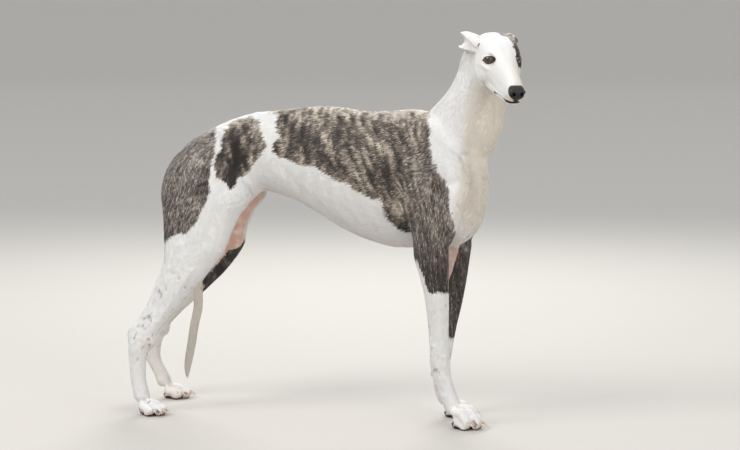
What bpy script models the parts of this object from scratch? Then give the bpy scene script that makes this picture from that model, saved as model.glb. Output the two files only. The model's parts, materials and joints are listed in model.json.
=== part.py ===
"""A standing greyhound, life size, in metres. +X is the way the body faces, +Y its left, +Z up.

The flesh is lofted through a few stations along each part of the body, fused and smoothed, and
then parted by thin cuts into the parts that a person would name. Ears, eyes, nose, claws and tail
are solids of their own, seated on what carries them. A station is its centre (x, y, z), then the
reach above or ahead of it, the reach below or behind it, and the half width across.
"""

import math

import bmesh
import bpy
import numpy as np
from mathutils import Matrix, Vector

# Sizes of the whole
GAP = 0.0003
BODY_GRAIN = 0.0042
FINE_GRAIN = 0.0019
BODY_TRIANGLES = 5000
HEAD_TRIANGLES = 3300
PAW_TRIANGLES = 560
TAIL_TRIANGLES = 400
NOSE_TRIANGLES = 460

# Head: the point midway between the eyes, and how the head is turned, nodded and tilted
BETWEEN_EYES = Vector((0.478, -0.105, 0.8115))
HEAD_TURN = math.radians(-62.5)
HEAD_NOD = math.radians(18.5)
HEAD_TILT = math.radians(-0.4)
EYE_RADIUS = 0.0128
EYE_AT = (-0.0080, 0.0275, 0.0005)
EYE_OUTWARD = math.radians(40)
EYE_SLANT = math.radians(11)
EYE_OPENING = (0.0145, 0.0084)
EYE_OPENING_FORWARD = 0.0020
MOUTH_CORNER = (0.033, 0.029, -0.0580)
MOUTH_FRONT = (0.118, 0.0, -0.0500)
EAR_THICKNESS = 0.0032
NECK_PLANE_POINT = (-0.088, 0.0, -0.030)
NECK_PLANE_NORMAL = (0.79, 0.0, 0.61)

# Heights of the level cuts across the legs
WRIST_TOP = 0.175
ELBOW_LEVEL = 0.383
HOCK_TOP = 0.205
KNEE_LEVEL = 0.352

# Paws: where the heel stands, its turn outwards, and the sizes of its toes
PAWS = {
    "fore": {
        "heel": (0.364, 0.060),
        "turn": math.radians(8),
        "top": 0.060,
        "length": 0.064,
        "heights": {-1: 0.0530, 1: 0.0385},
        "spread": 0.0150,
        "toe": 0.0116,
        "outer": 0.020,
    },
    "hind": {
        "heel": (-0.358, 0.100),
        "turn": math.radians(13),
        "top": 0.050,
        "length": 0.059,
        "heights": {-1: 0.0350, 1: 0.0350},
        "spread": 0.0138,
        "toe": 0.0108,
        "outer": 0.018,
    },
}
TOE_PLACES = (-1.5, -0.5, 0.5, 1.5)
CLAW_LENGTH = 0.0155
CLAW_RADIUS = 0.0036
CLAW_DROP = 0.0075

# How far each left leg leans forward of the right one, by height
LEFT_FORE_LEAN = ((0.00, -0.048), (0.05, -0.046), (0.10, -0.037), (0.15, -0.026), (0.20, -0.016),
                  (0.25, -0.006), (0.31, 0.004), (0.39, 0.015), (0.50, 0.006), (0.58, 0.0))
LEFT_HIND_LEAN = ((0.00, -0.023), (0.05, -0.025), (0.10, -0.042), (0.17, -0.042), (0.25, -0.020),
                  (0.30, -0.009), (0.35, -0.006), (0.42, -0.014), (0.57, 0.0))
NO_LEAN = ((0.0, 0.0), (1.0, 0.0))

# Ears in the head's frame: centre, the way the cup opens, radius, and degrees that it wraps round
RIGHT_EAR = (
    (-0.060, -0.035, 0.008, 0.45, -0.85, -0.20, 0.0165, 165),
    (-0.074, -0.046, 0.0115, 0.30, -0.92, -0.10, 0.0195, 150),
    (-0.090, -0.059, 0.0115, 0.15, -0.97, 0.00, 0.0205, 128),
    (-0.106, -0.068, 0.009, 0.00, -0.98, 0.10, 0.0195, 108),
    (-0.122, -0.069, 0.004, -0.15, -0.98, 0.15, 0.0165, 90),
    (-0.136, -0.062, -0.003, -0.25, -0.97, 0.10, 0.0105, 72),
    (-0.147, -0.054, -0.010, -0.25, -0.97, 0.10, 0.0020, 60),
)
LEFT_EAR = (
    (-0.060, 0.034, 0.006, 0.35, 0.85, 0.20, 0.0130, 160),
    (-0.076, 0.040, 0.012, 0.15, 0.95, 0.10, 0.0155, 140),
    (-0.094, 0.041, 0.013, -0.10, 0.95, 0.20, 0.0155, 112),
    (-0.112, 0.036, 0.008, -0.30, 0.90, 0.30, 0.0145, 90),
    (-0.129, 0.027, 0.000, -0.40, 0.90, 0.20, 0.0110, 70),
    (-0.141, 0.019, -0.006, -0.40, 0.90, 0.10, 0.0020, 55),
)
EAR_STEP = 0.008


def clear_scene():
    for thing in list(bpy.data.objects):
        bpy.data.objects.remove(thing, do_unlink=True)


def material(name, colour, roughness):
    made = bpy.data.materials.new(name)
    made.use_nodes = True
    shader = made.node_tree.nodes["Principled BSDF"]
    shader.inputs["Base Color"].default_value = (*colour, 1.0)
    shader.inputs["Roughness"].default_value = roughness
    made.diffuse_color = (*colour, 1.0)
    return made


def flow(stations, spacing):
    """Many stations made from a few, on a curve through each that never swings past its neighbours."""
    rows = np.array(stations, float)
    steps = np.linalg.norm(np.diff(rows[:, :3], axis=0), axis=1)
    slope = np.diff(rows, axis=0) / steps[:, None]
    before, after = slope[:-1], slope[1:]
    agree = before * after > 0
    tangent = np.vstack([slope[:1], np.zeros_like(before), slope[-1:]])
    tangent[1:-1] = np.where(agree, 2 * before * after / np.where(agree, before + after, 1.0), 0.0)
    made = []
    for i, step in enumerate(steps):
        count = max(2, round(step / spacing))
        t = (np.arange(count) / count)[:, None]
        made.append(
            rows[i] * (1 + 2 * t) * (1 - t) ** 2
            + rows[i + 1] * t * t * (3 - 2 * t)
            + step * (tangent[i] * t * (1 - t) ** 2 - tangent[i + 1] * t * t * (1 - t))
        )
    return np.vstack([*made, rows[-1:]])


def bent(value, power):
    return np.sign(value) * np.abs(value) ** (2.0 / power)


def loft(stations, facing=None, above=2.0, below=2.0, sides=28, spacing=0.007):
    """A closed form through stations. Its rings face along the path, or all along facing."""
    rows = flow(stations, spacing)
    centres, sizes = rows[:, :3], rows[:, 3:]
    along = np.gradient(centres, axis=0)
    if facing is not None:
        along[:] = facing
    along /= np.linalg.norm(along, axis=1, keepdims=True)
    across = np.array((0.0, 1.0, 0.0)) - along * along[:, 1:2]
    across /= np.linalg.norm(across, axis=1, keepdims=True)
    up = np.cross(along, across)
    angle = np.linspace(0, 2 * math.pi, sides, endpoint=False)
    high = np.sin(angle) > 0
    power = np.where(high, above, below)
    side_way = bent(np.cos(angle), power)
    up_way = bent(np.sin(angle), power)
    reach = np.where(high[None], sizes[:, 0:1], sizes[:, 1:2])
    rings = (
        centres[:, None]
        + across[:, None] * (sizes[:, 2:3] * side_way)[:, :, None]
        + up[:, None] * (reach * up_way)[:, :, None]
    )
    points = np.vstack([rings.reshape(-1, 3), centres[:1], centres[-1:]])
    faces = []
    count = len(rows)
    for r in range(count - 1):
        for s in range(sides):
            t = (s + 1) % sides
            faces.append((r * sides + s, r * sides + t, (r + 1) * sides + t, (r + 1) * sides + s))
    for s in range(sides):
        t = (s + 1) % sides
        faces.append((count * sides, t, s))
        last = (count - 1) * sides
        faces.append((count * sides + 1, last + s, last + t))
    return points, faces


def mass(centre, radii, pitch=0.0, turn=0.0):
    """An egg of flesh, pitched nose down and then turned to the left."""
    lengths = [-1.0, -0.92, -0.7, -0.4, 0.0, 0.4, 0.7, 0.92, 1.0]
    rows = []
    for step in lengths:
        size = max(math.sqrt(1 - step * step), 0.02)
        rows.append((step * radii[0], 0.0, 0.0, radii[2] * size, radii[2] * size, radii[1] * size))
    points, faces = loft(rows, facing=(1, 0, 0), sides=20, spacing=0.004)
    turned = Matrix.Rotation(turn, 3, "Z") @ Matrix.Rotation(pitch, 3, "Y")
    return points @ np.array(turned).T + np.array(centre), faces


def on_side(form, side, lean=NO_LEAN):
    """A form drawn on the left, leant in X by its height, and mirrored for the right."""
    points, faces = form
    heights, shifts = zip(*lean)
    points = points.copy()
    points[:, 0] += np.interp(points[:, 2], heights, shifts)
    if side > 0:
        return points, faces
    points[:, 1] *= -1
    return points, [face[::-1] for face in faces]


def head_matrix():
    turned = Matrix.Rotation(HEAD_TURN, 4, "Z") @ Matrix.Rotation(HEAD_NOD, 4, "Y")
    return Matrix.Translation(BETWEEN_EYES) @ turned @ Matrix.Rotation(-HEAD_TILT, 4, "X")


def in_head(form):
    points, faces = form
    placed = np.array(head_matrix())
    return points @ placed[:3, :3].T + placed[:3, 3], faces


def torso_forms():
    """The trunk from the seat to the breast, with rings that stand upright across it."""
    rows = (
        (-0.330, 0.556, 0.535, 0.507, 0.020),
        (-0.302, 0.591, 0.545, 0.480, 0.050),
        (-0.255, 0.631, 0.560, 0.462, 0.074),
        (-0.205, 0.6565, 0.575, 0.458, 0.084),
        (-0.150, 0.6775, 0.590, 0.470, 0.080),
        (-0.095, 0.6895, 0.600, 0.508, 0.067),
        (-0.040, 0.6955, 0.600, 0.495, 0.067),
        (0.025, 0.7020, 0.590, 0.465, 0.078),
        (0.090, 0.7005, 0.575, 0.4285, 0.091),
        (0.150, 0.6930, 0.560, 0.404, 0.097),
        (0.210, 0.6955, 0.550, 0.390, 0.093),
        (0.262, 0.6990, 0.545, 0.3905, 0.082),
        (0.310, 0.6930, 0.540, 0.392, 0.074),
        (0.355, 0.6700, 0.540, 0.398, 0.064),
        (0.388, 0.6400, 0.540, 0.418, 0.050),
        (0.410, 0.6050, 0.540, 0.448, 0.036),
        (0.421, 0.5750, 0.540, 0.495, 0.016),
    )
    trunk = [(x, 0.0, level, top - level, level - low, wide) for x, top, level, low, wide in rows]
    forms = [loft(trunk, facing=(1, 0, 0), above=2.3, below=1.75, sides=40)]
    breastbone = mass((0.408, 0.0, 0.553), (0.016, 0.014, 0.030))
    forms.append(breastbone)
    for side in (-1, 1):
        hip_bone = mass((-0.170, 0.056, 0.637), (0.034, 0.016, 0.020), 0.3)
        seat_bone = mass((-0.296, 0.034, 0.560), (0.018, 0.015, 0.026), 0.6)
        forms += [on_side(hip_bone, side), on_side(seat_bone, side)]
    return forms


def neck_forms():
    rows = (
        (0.305, 0.0, 0.600, 0.083, 0.097, 0.058),
        (0.352, 0.0, 0.664, 0.068, 0.098, 0.057),
        (0.384, 0.0, 0.725, 0.053, 0.083, 0.051),
        (0.400, 0.0, 0.772, 0.047, 0.067, 0.047),
        (0.409, -0.005, 0.803, 0.046, 0.056, 0.045),
        (0.423, -0.021, 0.822, 0.041, 0.048, 0.042),
        (0.440, -0.046, 0.828, 0.030, 0.034, 0.032),
    )
    return [loft(rows, above=2.1, below=2.0, sides=36)]


def fore_leg_forms(side):
    lean = LEFT_FORE_LEAN if side > 0 else NO_LEAN
    leg = (
        (0.318, 0.078, 0.440, 0.036, 0.040, 0.026),
        (0.315, 0.078, 0.400, 0.038, 0.042, 0.0265),
        (0.317, 0.077, 0.376, 0.036, 0.041, 0.0260),
        (0.321, 0.076, 0.345, 0.032, 0.036, 0.0240),
        (0.325, 0.074, 0.300, 0.028, 0.0290, 0.0215),
        (0.3275, 0.071, 0.250, 0.0250, 0.0250, 0.0190),
        (0.3285, 0.068, 0.205, 0.0228, 0.0225, 0.0178),
        (0.3290, 0.065, 0.170, 0.0232, 0.0218, 0.0185),
        (0.3305, 0.063, 0.145, 0.0232, 0.0228, 0.0190),
        (0.3340, 0.062, 0.115, 0.0215, 0.0215, 0.0175),
        (0.3410, 0.061, 0.090, 0.0208, 0.0190, 0.0170),
        (0.3500, 0.060, 0.066, 0.0205, 0.0190, 0.0190),
        (0.3580, 0.060, 0.046, 0.0200, 0.0180, 0.0200),
        (0.3640, 0.060, 0.032, 0.0150, 0.0150, 0.0160),
    )
    shoulder = (
        (0.250, 0.036, 0.668, 0.020, 0.020, 0.016),
        (0.285, 0.052, 0.640, 0.040, 0.036, 0.022),
        (0.330, 0.064, 0.590, 0.046, 0.040, 0.024),
        (0.368, 0.070, 0.552, 0.034, 0.036, 0.022),
        (0.388, 0.070, 0.532, 0.018, 0.020, 0.014),
    )
    upper_arm = (
        (0.384, 0.071, 0.552, 0.020, 0.020, 0.018),
        (0.366, 0.077, 0.510, 0.031, 0.034, 0.025),
        (0.344, 0.079, 0.465, 0.036, 0.038, 0.026),
        (0.326, 0.078, 0.420, 0.034, 0.036, 0.024),
    )
    triceps = (
        (0.262, 0.062, 0.610, 0.016, 0.018, 0.012),
        (0.276, 0.072, 0.560, 0.040, 0.036, 0.024),
        (0.288, 0.079, 0.500, 0.042, 0.038, 0.026),
        (0.294, 0.080, 0.445, 0.034, 0.028, 0.022),
        (0.287, 0.079, 0.398, 0.016, 0.014, 0.014),
    )
    forms = [loft(leg, above=2.1, below=2.0), loft(shoulder), loft(upper_arm), loft(triceps)]
    dewclaw_pad = mass((0.3210, 0.055, 0.100), (0.0070, 0.0060, 0.0090))
    wrist_pad = mass((0.3150, 0.064, 0.150), (0.0080, 0.0090, 0.0120))
    forms += [dewclaw_pad, wrist_pad]
    return [on_side(form, side, lean) for form in forms]


def hind_leg_forms(side):
    """The thigh and leg have level rings, set by the front and back of the leg at each height."""
    lean = LEFT_HIND_LEAN if side > 0 else NO_LEAN
    outline = (
        (0.610, -0.165, -0.262, 0.040, 0.030),
        (0.565, -0.135, -0.302, 0.053, 0.042),
        (0.530, -0.116, -0.3195, 0.058, 0.045),
        (0.500, -0.106, -0.3225, 0.062, 0.045),
        (0.455, -0.134, -0.3160, 0.069, 0.041),
        (0.405, -0.155, -0.3115, 0.077, 0.036),
        (0.378, -0.1645, -0.3100, 0.081, 0.033),
        (0.350, -0.1850, -0.3110, 0.085, 0.029),
        (0.320, -0.2080, -0.3165, 0.088, 0.0255),
        (0.285, -0.2385, -0.3270, 0.091, 0.0215),
        (0.245, -0.2730, -0.3420, 0.093, 0.0165),
        (0.210, -0.3035, -0.3580, 0.095, 0.0150),
        (0.184, -0.3220, -0.3820, 0.096, 0.0160),
        (0.165, -0.3320, -0.3930, 0.097, 0.0170),
        (0.145, -0.3425, -0.3945, 0.098, 0.0165),
        (0.120, -0.3500, -0.3930, 0.098, 0.0148),
        (0.090, -0.3515, -0.3905, 0.099, 0.0140),
        (0.060, -0.3465, -0.3845, 0.100, 0.0160),
        (0.040, -0.3420, -0.3800, 0.100, 0.0175),
        (0.028, -0.3450, -0.3740, 0.100, 0.0130),
    )
    leg = []
    for z, front, back, y, wide in outline:
        reach = (front - back) / 2
        leg.append(((front + back) / 2, y, z, reach, reach, wide))
    tendon = (
        (-0.297, 0.088, 0.345, 0.014, 0.014, 0.012),
        (-0.318, 0.090, 0.300, 0.012, 0.012, 0.010),
        (-0.3430, 0.093, 0.248, 0.0095, 0.0095, 0.0080),
        (-0.3710, 0.095, 0.206, 0.0085, 0.0085, 0.0075),
        (-0.3870, 0.096, 0.186, 0.0110, 0.0110, 0.0105),
        (-0.3840, 0.097, 0.160, 0.0110, 0.0110, 0.0110),
    )
    forms = [loft(leg, facing=(0, 0, -1), above=2.1, below=2.1, sides=32), loft(tendon)]
    kneecap = mass((-0.190, 0.083, 0.385), (0.022, 0.022, 0.030), 0.5)
    ankle = mass((-0.345, 0.098, 0.165), (0.018, 0.0172, 0.022), 0.9)
    forms += [kneecap, ankle]
    return [on_side(form, side, lean) for form in forms]


def in_paw(form, side, leg):
    """Puts a form that is drawn with the heel at the origin and toes towards +X under its leg."""
    sizes = PAWS[leg]
    lean = {"fore": LEFT_FORE_LEAN, "hind": LEFT_HIND_LEAN}[leg] if side > 0 else NO_LEAN
    turned = np.array(Matrix.Rotation(sizes["turn"], 3, "Z"))
    points, faces = form
    heel = (sizes["heel"][0] + lean[0][1], sizes["heel"][1], 0.0)
    return on_side((points @ turned.T + heel, faces), side)


def paw_forms(side, leg):
    """Four arched toes with their pads, and the heel pad."""
    sizes = PAWS[leg]
    forms = []
    for place in TOE_PLACES:
        outer = abs(place) > 1
        tip = sizes["length"] - (sizes["outer"] if outer else 0.0)
        y = place * sizes["spread"]
        r = sizes["toe"] * (0.94 if outer else 1.0)
        high = sizes["heights"][side] - (0.006 if outer else 0.0)
        rows = (
            (0.002, y * 0.55, high - 0.010, r, r, r),
            (tip * 0.48, y * 0.88, high - r, r * 1.06, r, r),
            (tip * 0.74, y, (high - r) * 0.66, r, r, r * 0.98),
            (tip * 0.93, y * 1.04, 0.0125, r * 0.86, r * 0.9, r * 0.86),
            (tip, y * 1.05, 0.0118, r * 0.45, r * 0.5, r * 0.5),
        )
        forms.append(loft(rows, sides=18, spacing=0.004))
        forms.append(mass((tip - 0.013, y * 1.04, 0.0070), (0.0125, r * 0.74, 0.0090)))
    forms.append(mass((0.008, 0.0, 0.0110), (0.0150, sizes["spread"] * 1.45, 0.0145), 0.15))
    for edge in (-1, 1):
        forms.append(mass((0.020, edge * sizes["spread"] * 1.15, 0.0160), (0.0200, 0.0100, 0.0140), 0.25))
    return [in_paw(form, side, leg) for form in forms]


def claw_forms(side, leg):
    """One claw to each toe. It curves down and ends above the floor."""
    sizes = PAWS[leg]
    forms = []
    for place in TOE_PLACES:
        root = sizes["length"] - (sizes["outer"] if abs(place) > 1 else 0.0) - 0.0045
        rows = []
        for t in (0.0, 0.5, 1.0):
            r = CLAW_RADIUS * (1 - 0.86 * t)
            y = place * (sizes["spread"] * 1.05 + 0.04 * CLAW_LENGTH * t)
            rows.append((root + CLAW_LENGTH * t, y, 0.0155 - CLAW_DROP * t * t, r * 1.15, r * 1.15, r * 0.85))
        forms.append(in_paw(loft(rows, sides=6, spacing=0.02), side, leg))
    return forms


def skull_forms():
    """Brain case, brow, cheeks and the upper muzzle, in the head's own frame."""
    rows = (
        (-0.122, 0.008, -0.004, -0.022, 0.018),
        (-0.108, 0.024, -0.004, -0.042, 0.034),
        (-0.085, 0.0330, -0.004, -0.056, 0.0435),
        (-0.055, 0.0360, -0.006, -0.063, 0.0465),
        (-0.025, 0.0345, -0.010, -0.066, 0.0450),
        (0.000, 0.0285, -0.016, -0.065, 0.0375),
        (0.020, 0.0205, -0.022, -0.062, 0.0305),
        (0.045, 0.0115, -0.028, -0.0585, 0.0250),
        (0.075, 0.0030, -0.031, -0.0555, 0.0212),
        (0.100, -0.0035, -0.032, -0.0530, 0.0198),
        (0.116, -0.0085, -0.033, -0.0510, 0.0182),
        (0.124, -0.0150, -0.033, -0.0470, 0.0130),
    )
    core = [(x, 0.0, level, top - level, level - low, wide) for x, top, level, low, wide in rows]
    forms = [loft(core, facing=(1, 0, 0), above=2.6, below=2.5, sides=40, spacing=0.004)]
    for side in (-1, 1):
        brow = mass((-0.012, 0.0250, 0.0125), (0.026, 0.0130, 0.0110), 0.25, -0.30)
        cheek = mass((-0.042, 0.0365, -0.034), (0.038, 0.0130, 0.028), 0.15)
        arch = mass((-0.022, 0.0380, -0.012), (0.036, 0.0095, 0.0100), -0.10, -0.12)
        mound = mass(EYE_AT, (EYE_RADIUS + 0.0030,) * 3)
        forms += [on_side(form, side) for form in (brow, cheek, arch, mound)]
    return [in_head(form) for form in forms]


def jaw_forms():
    """The lower jaw, a little narrower than the lips above it."""
    rows = (
        (-0.060, 0.0, -0.050, 0.020, 0.024, 0.034),
        (-0.030, 0.0, -0.054, 0.018, 0.0220, 0.0330),
        (0.010, 0.0, -0.054, 0.016, 0.0190, 0.0290),
        (0.045, 0.0, -0.053, 0.014, 0.0165, 0.0235),
        (0.080, 0.0, -0.052, 0.012, 0.0140, 0.0190),
        (0.104, 0.0, -0.051, 0.010, 0.0120, 0.0160),
        (0.113, 0.0, -0.050, 0.006, 0.0080, 0.0110),
    )
    return [in_head(loft(rows, facing=(1, 0, 0), below=2.3, sides=32, spacing=0.004))]


def object_from(name, points, faces):
    mesh = bpy.data.meshes.new(name)
    mesh.from_pydata([tuple(p) for p in points], [], faces)
    mesh.update()
    made = bpy.data.objects.new(name, mesh)
    bpy.context.collection.objects.link(made)
    return made


def settle(thing):
    """Applies the modifiers of an object."""
    graph = bpy.context.evaluated_depsgraph_get()
    mesh = bpy.data.meshes.new_from_object(thing.evaluated_get(graph))
    thing.modifiers.clear()
    old = thing.data
    thing.data = mesh
    bpy.data.meshes.remove(old)


def fuse(name, forms, grain, smoothing, triangles):
    """Fuses overlapping forms into one skin, smooths the joins and thins its triangles."""
    points, faces, start = [], [], 0
    for form_points, form_faces in forms:
        points.append(form_points)
        faces += [tuple(v + start for v in face) for face in form_faces]
        start += len(form_points)
    made = object_from(name, np.vstack(points), faces)
    remesh = made.modifiers.new("Fuse", "REMESH")
    remesh.mode = "VOXEL"
    remesh.voxel_size = grain
    smooth = made.modifiers.new("Smooth", "SMOOTH")
    smooth.factor = 0.5
    smooth.iterations = smoothing
    settle(made)
    thin_to(made, triangles)
    return made


def thin_to(thing, triangles):
    """Thins a mesh to about so many triangles."""
    count = sum(len(face.vertices) - 2 for face in thing.data.polygons)
    thin = thing.modifiers.new("Thin", "DECIMATE")
    thin.ratio = triangles / count
    settle(thing)


def block(name, low, high, placed=Matrix.Identity(4)):
    """A box between two corners, moved by a matrix."""
    corners = []
    for z in (low[2], high[2]):
        for y in (low[1], high[1]):
            for x in (low[0], high[0]):
                corners.append(placed @ Vector((x, y, z)))
    faces = [(0, 2, 3, 1), (4, 5, 7, 6), (0, 1, 5, 4), (2, 6, 7, 3), (0, 4, 6, 2), (1, 3, 7, 5)]
    return object_from(name, corners, faces)


def combine(thing, tool, operation):
    cut = thing.modifiers.new("Cut", "BOOLEAN")
    cut.operation = operation
    cut.object = tool
    cut.solver = "MANIFOLD"
    settle(thing)


def keep_largest(thing):
    """Keeps the largest closed surface of an object, so that no loose scrap is left."""
    shape = bmesh.new()
    shape.from_mesh(thing.data)
    left, groups = set(shape.verts), []
    while left:
        seed = left.pop()
        group, edge_of = {seed}, [seed]
        while edge_of:
            for edge in edge_of.pop().link_edges:
                for vert in edge.verts:
                    if vert in left:
                        left.discard(vert)
                        group.add(vert)
                        edge_of.append(vert)
        groups.append(group)
    groups.sort(key=len)
    for group in groups[:-1]:
        bmesh.ops.delete(shape, geom=list(group), context="VERTS")
    bmesh.ops.triangulate(shape, faces=shape.faces)
    shape.to_mesh(thing.data)
    shape.free()


def copy_of(thing, name):
    made = bpy.data.objects.new(name, thing.data.copy())
    bpy.context.collection.objects.link(made)
    return made


def part_off(rest, name, low, high, placed=Matrix.Identity(4)):
    """Takes the piece of rest inside a box, and leaves the gap round it."""
    piece = copy_of(rest, name)
    tool = block("tool", low, high, placed)
    combine(piece, tool, "INTERSECT")
    bpy.data.objects.remove(tool)
    keep_largest(piece)
    wider_low = [value - GAP for value in low]
    wider_high = [value + GAP for value in high]
    tool = block("tool", wider_low, wider_high, placed)
    combine(rest, tool, "DIFFERENCE")
    bpy.data.objects.remove(tool)
    return piece


def seat(child, parent):
    """Cuts the child clear of its parent's surface, so that the two meet face to face."""
    tool = copy_of(parent, "tool")
    grow = tool.modifiers.new("Grow", "DISPLACE")
    grow.strength = 1.3 * GAP
    grow.mid_level = 0.0
    settle(tool)
    combine(child, tool, "DIFFERENCE")
    bpy.data.objects.remove(tool)
    keep_largest(child)


def tilted(point, angle):
    """A frame at a point, pitched about the Y axis."""
    return Matrix.Translation(Vector(point)) @ Matrix.Rotation(angle, 4, "Y")


def part_body(rest):
    """Parts the trunk, neck and legs by thin cuts. The rest ends as the loin."""
    pieces = []
    far = 1.0
    for side, word in ((-1, "right"), (1, "left")):
        low_y, high_y = (-far, -0.0005) if side < 0 else (0.0005, far)
        fore = ((0.20, low_y), (0.50, high_y))
        hind = ((-0.50, low_y), (-0.10, high_y))
        for name, (start, end), bottom, top in (
            ("fore_pastern_" + word, fore, PAWS["fore"]["top"], WRIST_TOP),
            ("forearm_" + word, fore, WRIST_TOP, ELBOW_LEVEL),
            ("hock_" + word, hind, PAWS["hind"]["top"], HOCK_TOP),
            ("gaskin_" + word, hind, HOCK_TOP, KNEE_LEVEL),
        ):
            low = (start[0], start[1], bottom + GAP / 2)
            high = (end[0], end[1], top - GAP / 2)
            pieces.append(part_off(rest, name, low, high))
    hip = tilted((-0.20, 0.0, 0.580), math.radians(20))
    shoulder = tilted((0.300, 0.0, 0.545), math.radians(-35))
    for side, word in ((-1, "right"), (1, "left")):
        low_y, high_y = (-far, -0.024) if side < 0 else (0.024, far)
        pieces.append(part_off(rest, "thigh_" + word, (-0.25, low_y, -0.35), (0.105, high_y, 0.0), hip))
        low_y, high_y = (-far, -0.047) if side < 0 else (0.047, far)
        box = ((-0.115, low_y, -0.30), (0.16, high_y, 0.0))
        pieces.append(part_off(rest, "upper_arm_" + word, *box, shoulder))
        box = ((-0.075, low_y, GAP), (0.085, high_y, 0.135))
        pieces.append(part_off(rest, "shoulder_" + word, *box, shoulder))
    frame = tilted((0.352, 0.0, 0.640), math.radians(43))
    pieces.append(part_off(rest, "neck", (-0.30, -far, 0.0), (0.30, far, 0.60), frame))
    pieces.append(part_off(rest, "chest", (0.030, -far, 0.0), (far, far, far)))
    pieces.append(part_off(rest, "croup", (-far, -far, 0.0), (-0.165, far, far)))
    rest.name = "loin"
    keep_largest(rest)
    pieces.append(rest)
    return pieces


def neck_plane():
    """A frame whose Z is the normal of the cut between head and neck."""
    normal = Vector(NECK_PLANE_NORMAL).normalized()
    turn = normal.to_track_quat("Z", "Y").to_matrix().to_4x4()
    return head_matrix() @ Matrix.Translation(Vector(NECK_PLANE_POINT)) @ turn


def eye_frame(side):
    """The eye's own frame in the head's: X looks out, Y runs along the opening."""
    turn = Matrix.Rotation(side * EYE_OUTWARD, 4, "Z") @ Matrix.Rotation(-side * EYE_SLANT, 4, "X")
    at = Vector((EYE_AT[0], side * EYE_AT[1], EYE_AT[2]))
    return Matrix.Translation(at) @ turn


def ball(name, radius, segments, placed):
    shape = bmesh.new()
    bmesh.ops.create_uvsphere(shape, u_segments=segments, v_segments=segments // 2, radius=radius)
    bmesh.ops.triangulate(shape, faces=shape.faces)
    mesh = bpy.data.meshes.new(name)
    shape.to_mesh(mesh)
    shape.free()
    mesh.transform(placed)
    made = bpy.data.objects.new(name, mesh)
    bpy.context.collection.objects.link(made)
    return made


def lid_opening(side):
    """An almond prism that opens the lids over the front of the eye."""
    half_long, half_high = EYE_OPENING
    steps = 9
    rim = []
    for i in range(2 * steps):
        along = math.cos(math.pi * i / steps)
        high = half_high * (1 - along * along) ** 0.75
        y = along * half_long - side * EYE_OPENING_FORWARD
        rim.append((y, high if i < steps else -high * 0.85))
    placed = head_matrix() @ eye_frame(side)
    corners = [placed @ Vector((depth, y, z)) for depth in (0.004, 0.030) for y, z in rim]
    count = len(rim)
    faces = [tuple(range(count))[::-1], tuple(range(count, 2 * count))]
    faces += [(i, (i + 1) % count, count + (i + 1) % count, count + i) for i in range(count)]
    made = object_from("tool", corners, faces)
    outward_faces(made)
    return made


def outward_faces(thing):
    """Turns every face outwards, and splits it into triangles."""
    shape = bmesh.new()
    shape.from_mesh(thing.data)
    bmesh.ops.recalc_face_normals(shape, faces=shape.faces)
    bmesh.ops.triangulate(shape, faces=shape.faces)
    shape.to_mesh(thing.data)
    shape.free()


def head_pieces():
    """Head, lower jaw, eyes and nose."""
    head = fuse("head", skull_forms() + jaw_forms() + neck_forms(), FINE_GRAIN, 5, HEAD_TRIANGLES)
    tool = block("tool", (-0.2, -0.2, GAP / 2), (0.2, 0.2, 0.3), neck_plane())
    combine(head, tool, "INTERSECT")
    bpy.data.objects.remove(tool)
    pieces = [head]
    for side, word in ((-1, "right"), (1, "left")):
        placed = head_matrix() @ eye_frame(side)
        for tool in (ball("tool", EYE_RADIUS + GAP, 20, placed), lid_opening(side)):
            combine(head, tool, "DIFFERENCE")
            bpy.data.objects.remove(tool)
        pieces.append(ball("eye_" + word, EYE_RADIUS, 14, placed))
    keep_largest(head)
    line = Vector(MOUTH_FRONT) - Vector((MOUTH_CORNER[0], 0.0, MOUTH_CORNER[2]))
    slope = math.atan2(line.z, line.x)
    frame = head_matrix() @ tilted((MOUTH_CORNER[0], 0.0, MOUTH_CORNER[2]), -slope)
    pieces.append(part_off(head, "lower_jaw", (0.0, -0.1, -0.1), (0.2, 0.1, 0.0), frame))
    return pieces


def nose_piece(head):
    """The nose leather with its two nostrils."""
    rows = (
        (0.108, 0.0, -0.0240, 0.0100, 0.0120, 0.0120),
        (0.114, 0.0, -0.0245, 0.0135, 0.0150, 0.0160),
        (0.122, 0.0, -0.0260, 0.0135, 0.0150, 0.0172),
        (0.130, 0.0, -0.0275, 0.0115, 0.0130, 0.0155),
        (0.1345, 0.0, -0.0285, 0.0075, 0.0090, 0.0105),
        (0.1360, 0.0, -0.0285, 0.0030, 0.0040, 0.0050),
    )
    form = in_head(loft(rows, facing=(1, 0, 0), above=2.6, below=2.0))
    made = fuse("nose", [form], 0.0014, 2, 4 * NOSE_TRIANGLES)
    for side in (-1, 1):
        hole = mass((0.1335, 0.0078 * side, -0.0265), (0.0075, 0.0036, 0.0042), 0.0, 0.25 * side)
        slit = mass((0.1290, 0.0145 * side, -0.0300), (0.0060, 0.0050, 0.0016), 0.0, 0.6 * side)
        for form in (hole, slit):
            tool = object_from("tool", *in_head(form))
            outward_faces(tool)
            combine(made, tool, "DIFFERENCE")
            bpy.data.objects.remove(tool)
    thin_to(made, NOSE_TRIANGLES)
    seat(made, head)
    return made


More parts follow.
